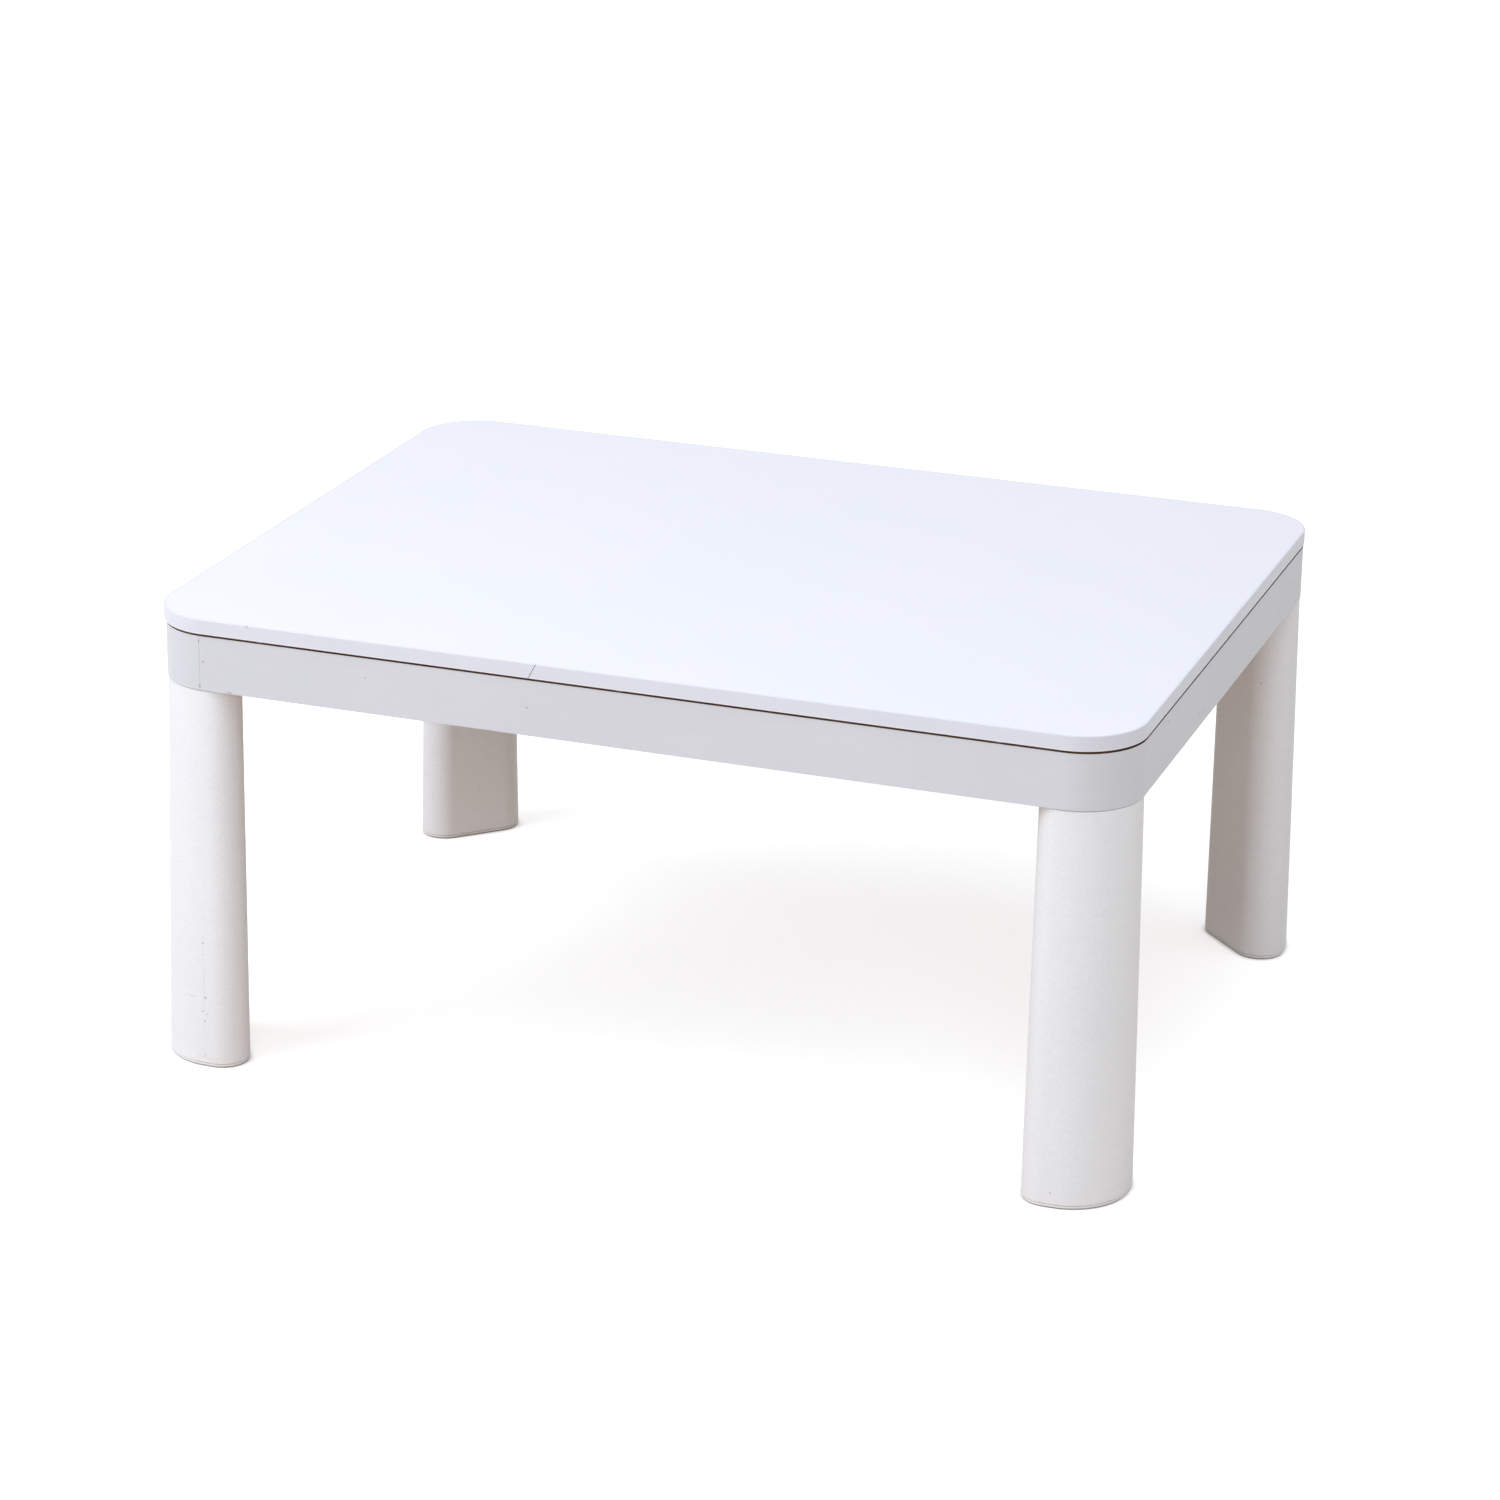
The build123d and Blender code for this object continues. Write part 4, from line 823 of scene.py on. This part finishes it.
for name, node, grain in (
        ("rail_front", "rail_front", "x"), ("rail_back", "rail_back", "x"),
        ("rail_left", "rail_left", "y"), ("rail_right", "rail_right", "y"),
        ("heater_bar_left", "heater_bar_left", "y"), ("heater_bar_right", "heater_bar_right", "y"),
        ("bay_front", "bay_piece_front", "x"), ("bay_back", "bay_piece_back", "x")):
    smooth_copy(f"{name}_wood", node, "frame_wood", edge=0.6 * MM, surface=f"wood_along_{grain}")
for place in CORNERS:
    smooth_copy(f"bent_corner_{place}", f"corner_bend_{place}", "frame_wood", edge=0.4 * MM,
                surface="wood_across")
    smooth_copy(f"leg_block_{place}", f"corner_block_{place}", "frame_wood", edge=0.6 * MM,
                surface="wood_across")
    smooth_copy(f"wing_nut_cast_{place}", f"wing_nut_{place}", "wing_nut_zinc",
                body=f"wing_nut_{place}", edge=0.5 * MM)
for name, node, slot, edge in (
        ("washers_pressed", "leg_washers", "plated_steel", 0.25),
        ("felt_rests", "rest_pads", "rest_felt", 0.3),
        ("felt_feet", "foot_pads", "foot_felt", 0.2),
        ("case_pressing", "heater_case", "case_enamel", 0.15),
        ("reflector_sheet", "reflector", "bright_aluminium", 0.0),
        ("holder_blocks", "tube_holders", "holder_ceramic", 0.6),
        ("clip_strips", "guard_clips", "sheet_steel", 0.15),
        ("terminal_plate", "terminal_cover", "case_enamel", 0.15),
        ("inlet_shroud", "inlet_socket", "inlet_plastic", 0.35),
        ("contact_pins", "inlet_pins", "pin_brass", 0.0)):
    smooth_copy(name, node, slot, edge=edge * MM)


# ---- Screws and studs ----
def solids_of(node):
    """Boxes of the separate solids of a node, in the order of their points."""
    bm = merged_copy(node)
    boxes = []
    for first in bm.verts:
        if first.tag:
            continue
        first.tag = True
        reached = [first]
        for vert in reached:
            for edge in vert.link_edges:
                other = edge.other_vert(vert)
                if not other.tag:
                    other.tag = True
                    reached.append(other)
        low = Vector([min(vert.co[axis] for vert in reached) for axis in range(3)])
        high = Vector([max(vert.co[axis] for vert in reached) for axis in range(3)])
        boxes.append((low, high))
    bm.free()
    return boxes


def turned(profile, steps=32):
    """Closed solid turned about Z from (radius, height) points that begin and end on the axis."""
    bm = bmesh.new()
    points = [bm.verts.new((radius, 0, height)) for radius, height in profile]
    edges = [bm.edges.new(pair) for pair in zip(points, points[1:])]
    bmesh.ops.spin(bm, geom=points + edges, cent=(0, 0, 0), axis=(0, 0, 1), angle=2 * pi,
                   steps=steps, use_merge=True)
    bmesh.ops.remove_doubles(bm, verts=bm.verts, dist=0.001 * MM)
    outwards(bm)
    return bm


def placed(bm, matrix):
    """Moves a new shape to its place."""
    bmesh.ops.transform(bm, matrix=matrix, verts=bm.verts)
    return bm


def cross_screw(length):
    """Pan head screw with a cross recess, its axis on Z and its seat at the origin."""
    bm = bmesh.new()
    bmesh.ops.create_circle(bm, cap_ends=True, segments=32, radius=HEAD_RADIUS)
    extrude_up(bm, HEAD_TALL)
    round_off(bm, level_edges(bm, HEAD_TALL), HEAD_ROUND, 6)
    crown = [max(bm.faces, key=lambda face: face.calc_center_median().z)]
    bmesh.ops.inset_region(bm, faces=crown, thickness=HEAD_RADIUS - HEAD_ROUND - CROSS_REACH)
    for axis in (Vector((1, 0, 0)), Vector((0, 1, 0))):
        for side in (-1, 1):
            inner = [face for face in bm.faces
                     if face.normal.z > 0.99 and face.calc_center_median().z > 0.99 * HEAD_TALL
                     and all(vert.co.xy.length < 1.01 * CROSS_REACH for vert in face.verts)]
            bmesh.ops.bisect_plane(bm, geom=with_rims(inner), dist=CUT,
                                   plane_co=axis * side * CROSS_WIDE / 2, plane_no=axis)
    pit = [face for face in bm.faces
           if face.calc_center_median().z > 0.99 * HEAD_TALL
           and all(vert.co.xy.length < 1.01 * CROSS_REACH for vert in face.verts)
           and min(abs(face.calc_center_median().x), abs(face.calc_center_median().y))
           < CROSS_WIDE / 2]
    grown = bmesh.ops.extrude_face_region(bm, geom=pit)["geom"]
    floor = of_kind(grown, bmesh.types.BMVert)
    bmesh.ops.delete(bm, geom=pit, context="FACES")
    bmesh.ops.scale(bm, vec=(0.55, 0.55, 1), verts=floor)
    bmesh.ops.translate(bm, vec=(0, 0, -CROSS_DEEP), verts=floor)
    outwards(bm)
    shank = turned([(0, -length), (SCREW_RADIUS * 0.3, -length), (SCREW_RADIUS, -0.85 * length),
                    (SCREW_RADIUS, 0), (0, 0)], 16)
    return joined(bm, shank)


def screw_set(name, node):
    """Screws at the solids of a node: those that lie flat have their heads towards the middle of
    the table, and those that stand have theirs below."""
    screws = []
    for low, high in solids_of(node):
        size = high - low
        along = max(range(3), key=lambda axis: size[axis])
        middle = (low + high) / 2
        out = Vector([0, 0, 0])
        out[along] = -1 if along == 2 or middle[along] > 0 else 1
        seat = middle + out * (size[along] / 2 - HEAD_TALL)
        turn = out.to_track_quat("Z", "Y").to_matrix().to_4x4()
        screws.append(placed(cross_screw(size[along] - HEAD_TALL),
                             Matrix.Translation(seat) @ turn))
    piece(name, joined(*screws), "plated_steel", "frame", [node])


def threaded_stud(low, high):
    """Stud whose upper end carries a cut thread."""
    middle = (low + high) / 2
    core = STUD_RADIUS - THREAD_DEPTH
    shoulder = high.z - THREAD_TURNS * THREAD_PITCH
    body = turned([
        (0, low.z), (STUD_RADIUS - STUD_CHAMFER, low.z), (STUD_RADIUS, low.z + STUD_CHAMFER),
        (STUD_RADIUS, shoulder), (core, shoulder), (core, high.z - STUD_CHAMFER / 2),
        (core - STUD_CHAMFER / 2, high.z), (0, high.z)], 28)
    thread = bmesh.new()
    bottom = shoulder - THREAD_PITCH / 4
    ridge = [thread.verts.new(place) for place in (
        (core - THREAD_DEPTH / 2, 0, bottom), (STUD_RADIUS, 0, bottom + THREAD_PITCH * 0.46),
        (STUD_RADIUS, 0, bottom + THREAD_PITCH * 0.54),
        (core - THREAD_DEPTH / 2, 0, bottom + THREAD_PITCH * 0.98))]
    start = thread.faces.new(ridge)
    turns = THREAD_TURNS - 1
    bmesh.ops.spin(thread, geom=[start], cent=(0, 0, 0), axis=(0, 0, 1),
                   dvec=(0, 0, THREAD_PITCH / THREAD_STEPS), angle=2 * pi * turns,
                   steps=turns * THREAD_STEPS, use_merge=False)
    outwards(thread)
    return placed(joined(body, thread), Matrix.Translation((middle.x, middle.y, 0)))


screw_set("block_screw_heads", "block_screws")
screw_set("heater_screw_heads", "heater_screws")
piece("studs_threaded", joined(*(threaded_stud(*box) for box in solids_of("leg_studs"))),
      "plated_steel", "frame", ["leg_studs"])


# ---- Heater ----
def ring_of(bm, start, heading, radius, sides):
    """Edges of a circle square to a heading."""
    square = Vector(heading).to_track_quat("Z", "Y").to_matrix().to_4x4()
    made = bmesh.ops.create_circle(bm, cap_ends=False, segments=sides, radius=radius,
                                   matrix=Matrix.Translation(start) @ square)
    return list({edge for vert in made["verts"] for edge in vert.link_edges})


def with_ends(edges):
    """Edges and their vertices together."""
    return edges + list({vert for edge in edges for vert in edge.verts})


def draw_wire(bm, start, heading, radius, moves, sides=WIRE_SIDES, closed=False):
    """Round wire drawn from a point by straight runs (length) and bends (angle, axis, radius)."""
    point = Vector(start)
    heading = Vector(heading).normalized()
    first = edges = ring_of(bm, point, heading, radius, sides)
    for move in moves:
        if len(move) == 1:
            grown = bmesh.ops.extrude_edge_only(bm, edges=edges)["geom"]
            moved = set(of_kind(grown, bmesh.types.BMVert))
            bmesh.ops.translate(bm, vec=heading * move[0], verts=list(moved))
            edges = [edge for edge in of_kind(grown, bmesh.types.BMEdge)
                     if set(edge.verts) <= moved]
            point = point + heading * move[0]
        else:
            angle, axis, bend = move
            axis = Vector(axis)
            centre = point + axis.cross(heading) * bend
            steps = max(2, round(angle / radians(9)))
            spun = bmesh.ops.spin(bm, geom=with_ends(edges), cent=centre, axis=axis, angle=angle,
                                  steps=steps, use_merge=False)
            edges = of_kind(spun["geom_last"], bmesh.types.BMEdge)
            turn = Matrix.Rotation(angle, 3, axis)
            point = centre + turn @ (point - centre)
            heading = turn @ heading
    if not closed:
        bmesh.ops.edgeloop_fill(bm, edges=first)
        bmesh.ops.edgeloop_fill(bm, edges=edges)
    return bm


def dished_moves(length, drop, axis):
    """Moves of a wire that dips below its ends by a drop."""
    angle = atan2(drop, WIRE_SLOPE)
    cut = WIRE_BEND * tan(angle / 2)
    slope = (drop ** 2 + WIRE_SLOPE ** 2) ** 0.5 - 2 * cut
    down = (angle, axis, WIRE_BEND)
    back = (angle, tuple(-value for value in axis), WIRE_BEND)
    level = length - 2 * (WIRE_RUN_IN + WIRE_SLOPE) - 2 * cut
    return [(WIRE_RUN_IN - cut,), down, (slope,), back, (level,), back, (slope,), down,
            (WIRE_RUN_IN - cut,)]


def guard_grille():
    """Welded guard: a closed ring, dished wires across it and three cross wires inside."""
    low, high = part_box("heater_guard")
    left = low.x + RING_RADIUS
    front = low.y + RING_RADIUS
    back = high.y - RING_RADIUS
    level = high.z - RING_RADIUS
    bm = bmesh.new()
    quarter = (pi / 2, (0, 0, 1), RING_CORNER)
    long_run = (-2 * left - 2 * RING_CORNER,)
    short_run = (back - front - 2 * RING_CORNER,)
    draw_wire(bm, (left + RING_CORNER, front, level), (1, 0, 0), RING_RADIUS,
              [long_run, quarter, short_run, quarter, long_run, quarter, short_run, quarter],
              closed=True)
    wire_level = level - RING_RADIUS - WIRE_RADIUS + WELD
    middle = (front + back) / 2
    count = int((back - front - 2 * RING_CORNER) // WIRE_PITCH)
    for index in range(count + 1):
        y = middle + (index - count / 2) * WIRE_PITCH
        draw_wire(bm, (left, y, wire_level), (1, 0, 0), WIRE_RADIUS,
                  dished_moves(-2 * left, WIRE_DROP, (0, 1, 0)))
    cross_drop = WIRE_DROP - 2 * WIRE_RADIUS + WELD
    for side in (-1, 0, 1):
        draw_wire(bm, (side * CROSS_PITCH, front, wire_level), (0, 1, 0), WIRE_RADIUS,
                  dished_moves(back - front, cross_drop, (-1, 0, 0)))
    bmesh.ops.remove_doubles(bm, verts=bm.verts, dist=0.005 * MM)
    outwards(bm)
    return bm


def glass_tube(low, high):
    """Open tube along X in its box, fused smooth at its ends."""
    middle = (low + high) / 2
    start = Vector((low.x, middle.y, middle.z))
    length = high.x - low.x
    bm = bmesh.new()
    for radius in (TUBE_RADIUS, TUBE_RADIUS - TUBE_WALL):
        edges = ring_of(bm, start, (1, 0, 0), radius, TUBE_SIDES)
        grown = bmesh.ops.extrude_edge_only(bm, edges=edges)["geom"]
        bmesh.ops.translate(bm, vec=(length, 0, 0), verts=of_kind(grown, bmesh.types.BMVert))
    for x in (low.x, high.x):
        rims = [edge for edge in bm.edges if edge.is_boundary
                and all(abs(vert.co.x - x) < 0.1 * MM for vert in edge.verts)]
        bmesh.ops.bridge_loops(bm, edges=rims)
    outwards(bm)
    return bm


def wound_coil(low, high):
    """Resistance wire wound in a close helix, with a straight tail at each end."""
    middle = (low + high) / 2
    radius = (high.z - low.z) / 2 - COIL_WIRE
    turns = int((high.x - low.x - 2 * COIL_TAIL) / COIL_PITCH)
    start_x = middle.x - turns * COIL_PITCH / 2
    bm = bmesh.new()
    edges = ring_of(bm, (start_x, middle.y, middle.z + radius), (0, -1, 0), COIL_WIRE,
                    COIL_SIDES)
    spun = bmesh.ops.spin(bm, geom=with_ends(edges), cent=(start_x, middle.y, middle.z),
                          axis=(1, 0, 0), dvec=(COIL_PITCH / COIL_STEPS, 0, 0),
                          angle=2 * pi * turns, steps=turns * COIL_STEPS, use_merge=False)
    for rim in (edges, of_kind(spun["geom_last"], bmesh.types.BMEdge)):
        bmesh.ops.edgeloop_fill(bm, edges=rim)
    for side, x in ((-1, start_x), (1, start_x + turns * COIL_PITCH)):
        end = low.x if side < 0 else high.x
        draw_wire(bm, (x, middle.y, middle.z + radius - COIL_WIRE), (side, 0, 0), COIL_WIRE,
                  [(abs(end - x) - COIL_WIRE,)], COIL_SIDES)
    outwards(bm)
    return bm


piece("guard_grille", guard_grille(), "guard_chrome", "frame", ["heater_guard"])
for side in ("front", "back"):
    piece(f"tube_glass_{side}", glass_tube(*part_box(f"quartz_tube_{side}")), "quartz_glass", "frame",
          [f"quartz_tube_{side}"])
    piece(f"coil_winding_{side}", wound_coil(*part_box(f"heating_coil_{side}")), "coil_wire", "frame",
          [f"heating_coil_{side}"])


# ---- CAD nodes that show as they are ----
for node, surface in (
        ("top_core", "board_core"),
        ("top_under_laminate", "under_laminate"),
        ("frame_dowels", "wood_along_x"),
        ("leg_inserts", "insert_brass"),
        ("heat_shield", "mineral_board"),
        ("heater_partition", "sheet_steel"),
        ("terminal_block", "holder_ceramic"),
        ("thermostat", "inlet_plastic"),
        ("thermal_fuse", "sheet_steel"),
        ("heater_leads", "lead_braid")):
    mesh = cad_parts[node].data
    mesh.materials.clear()
    mesh.materials.append(FINISHES[surface])


# ---- Stage ----
FLOOR_SIZE = 14.0
FLOOR_TOUCH = 0.3 * MM  # shorter rays pass the floor, so that feet aren't black from below
WORLD_LEVEL = 0.44
LAMP_COLOUR = (0.94, 0.988, 1.066)
LAMP_TARGET = (0, 0, 0.2)


def seen(tree):
    """One for the rays that show the stage itself: from the camera, a mirror or glass."""
    path = tree.nodes.new("ShaderNodeLightPath").outputs
    shown = calculate(tree, "MAXIMUM", path["Is Camera Ray"], path["Is Glossy Ray"])
    return calculate(tree, "MAXIMUM", shown, path["Is Transmission Ray"])


def paper_floor():
    """Pale floor that keeps the table's shadow."""
    bm = bmesh.new()
    bmesh.ops.create_grid(bm, x_segments=1, y_segments=1, size=FLOOR_SIZE / 2)
    mesh = as_mesh("floor", bm)
    floor = in_scene("floor", mesh)
    made = bpy.data.materials.new("floor_paper")
    made.use_nodes = True
    tree = made.node_tree
    tree.nodes.clear()
    shown = seen(tree)
    away = add(tree, "ShaderNodeVectorMath", {"operation": "LENGTH"}, {
        0: tree.nodes.new("ShaderNodeTexCoord").outputs["Object"]}).outputs["Value"]
    # The floor's colour for bounced light is darker and warmer within 0.38 m of the middle: painted
    # shade under the table, seen only in the light the floor throws back.
    bounce = blend_colours(tree, spread(tree, away, 0.38, 0.5), ink(206, 172, 140),
                           ink(210, 192, 176))
    colour = blend_colours(tree, shown, bounce, ink(238, 238, 238))
    paper = add(tree, "ShaderNodeBsdfDiffuse", None, {"Color": colour})
    open_sky = add(tree, "ShaderNodeAmbientOcclusion", {"samples": 8}, {
        "Distance": 0.008}).outputs["AO"]
    level = spread(tree, away, 1.3, 2.6, 0.55, 1.0)
    level = calculate(tree, "MULTIPLY", level, spread(tree, open_sky, 0.25, 0.85, 0.0, 1.0))
    glow = add(tree, "ShaderNodeEmission", None, {
        "Color": ink(255, 255, 255), "Strength": calculate(tree, "MULTIPLY", shown, level)})
    both = add(tree, "ShaderNodeAddShader", None, {0: paper.outputs[0], 1: glow.outputs[0]})
    clear = tree.nodes.new("ShaderNodeBsdfTransparent").outputs[0]
    below = tree.nodes.new("ShaderNodeNewGeometry").outputs["Backfacing"]
    reach = tree.nodes.new("ShaderNodeLightPath").outputs["Ray Length"]
    below = calculate(tree, "MAXIMUM", below, calculate(tree, "LESS_THAN", reach, FLOOR_TOUCH))
    sided = add(tree, "ShaderNodeMixShader", None, {0: below, 1: both.outputs[0], 2: clear})
    add(tree, "ShaderNodeOutputMaterial", None, {"Surface": sided.outputs[0]})
    mesh.materials.append(made)


def white_surround():
    """World that is white where it is seen and lights the table softly."""
    world = bpy.data.worlds.new("studio")
    bpy.context.scene.world = world
    world.use_nodes = True
    tree = world.node_tree
    tree.nodes.clear()
    level = between(tree, seen(tree), WORLD_LEVEL, 1.0)
    sky = add(tree, "ShaderNodeBackground", None, {"Color": (1, 1, 1, 1), "Strength": level})
    add(tree, "ShaderNodeOutputWorld", None, {"Surface": sky.outputs[0]})


def aimed(target, azimuth, elevation, distance, roll=0):
    """Place that looks at a target, its angles in degrees: azimuth counted from the front."""
    turn = (Matrix.Rotation(radians(azimuth), 4, "Z")
            @ Matrix.Rotation(pi / 2 - radians(elevation), 4, "X")
            @ Matrix.Rotation(radians(roll), 4, "Z"))
    return Matrix.Translation(target) @ turn @ Matrix.Translation((0, 0, distance))


def softbox(name, azimuth, elevation, distance, size, power, mirrored):
    """Square soft light, hidden from glossy surfaces where it isn't mirrored."""
    lamp = bpy.data.lights.new(name, "AREA")
    lamp.shape = "SQUARE"
    lamp.size = size
    lamp.energy = power
    lamp.color = LAMP_COLOUR
    made = in_scene(name, lamp)
    made.matrix_world = aimed(LAMP_TARGET, azimuth, elevation, distance)
    made.visible_glossy = mirrored


paper_floor()
white_surround()
# The two front boxes would bleach the board seen from behind if its gloss mirrored them.
softbox("front_left_box", -52, 38, 3.4, 2.2, 57.0, False)
softbox("overhead_box", 10, 82, 3.0, 2.6, 25.4, True)
softbox("front_box", 18, 22, 4.2, 2.0, 33.6, False)
softbox("right_box", 80, 32, 3.6, 2.2, 10.2, True)

# ---- Camera ----
VIEW_AZIMUTH = 19.5284
VIEW_ELEVATION = 20.3363
VIEW_ROLL = 0.8232
VIEW_DISTANCE = 3.62233
VIEW_TARGET = (0.021571, -0.058349, 0.24)
VIEW_LENS = 107.197

camera = in_scene("camera", bpy.data.cameras.new("camera"))
camera.data.lens = VIEW_LENS
camera.data.sensor_width = 36
camera.matrix_world = aimed(VIEW_TARGET, VIEW_AZIMUTH, VIEW_ELEVATION, VIEW_DISTANCE, VIEW_ROLL)
bpy.context.scene.camera = camera

bpy.context.scene.view_settings.view_transform = "Standard"
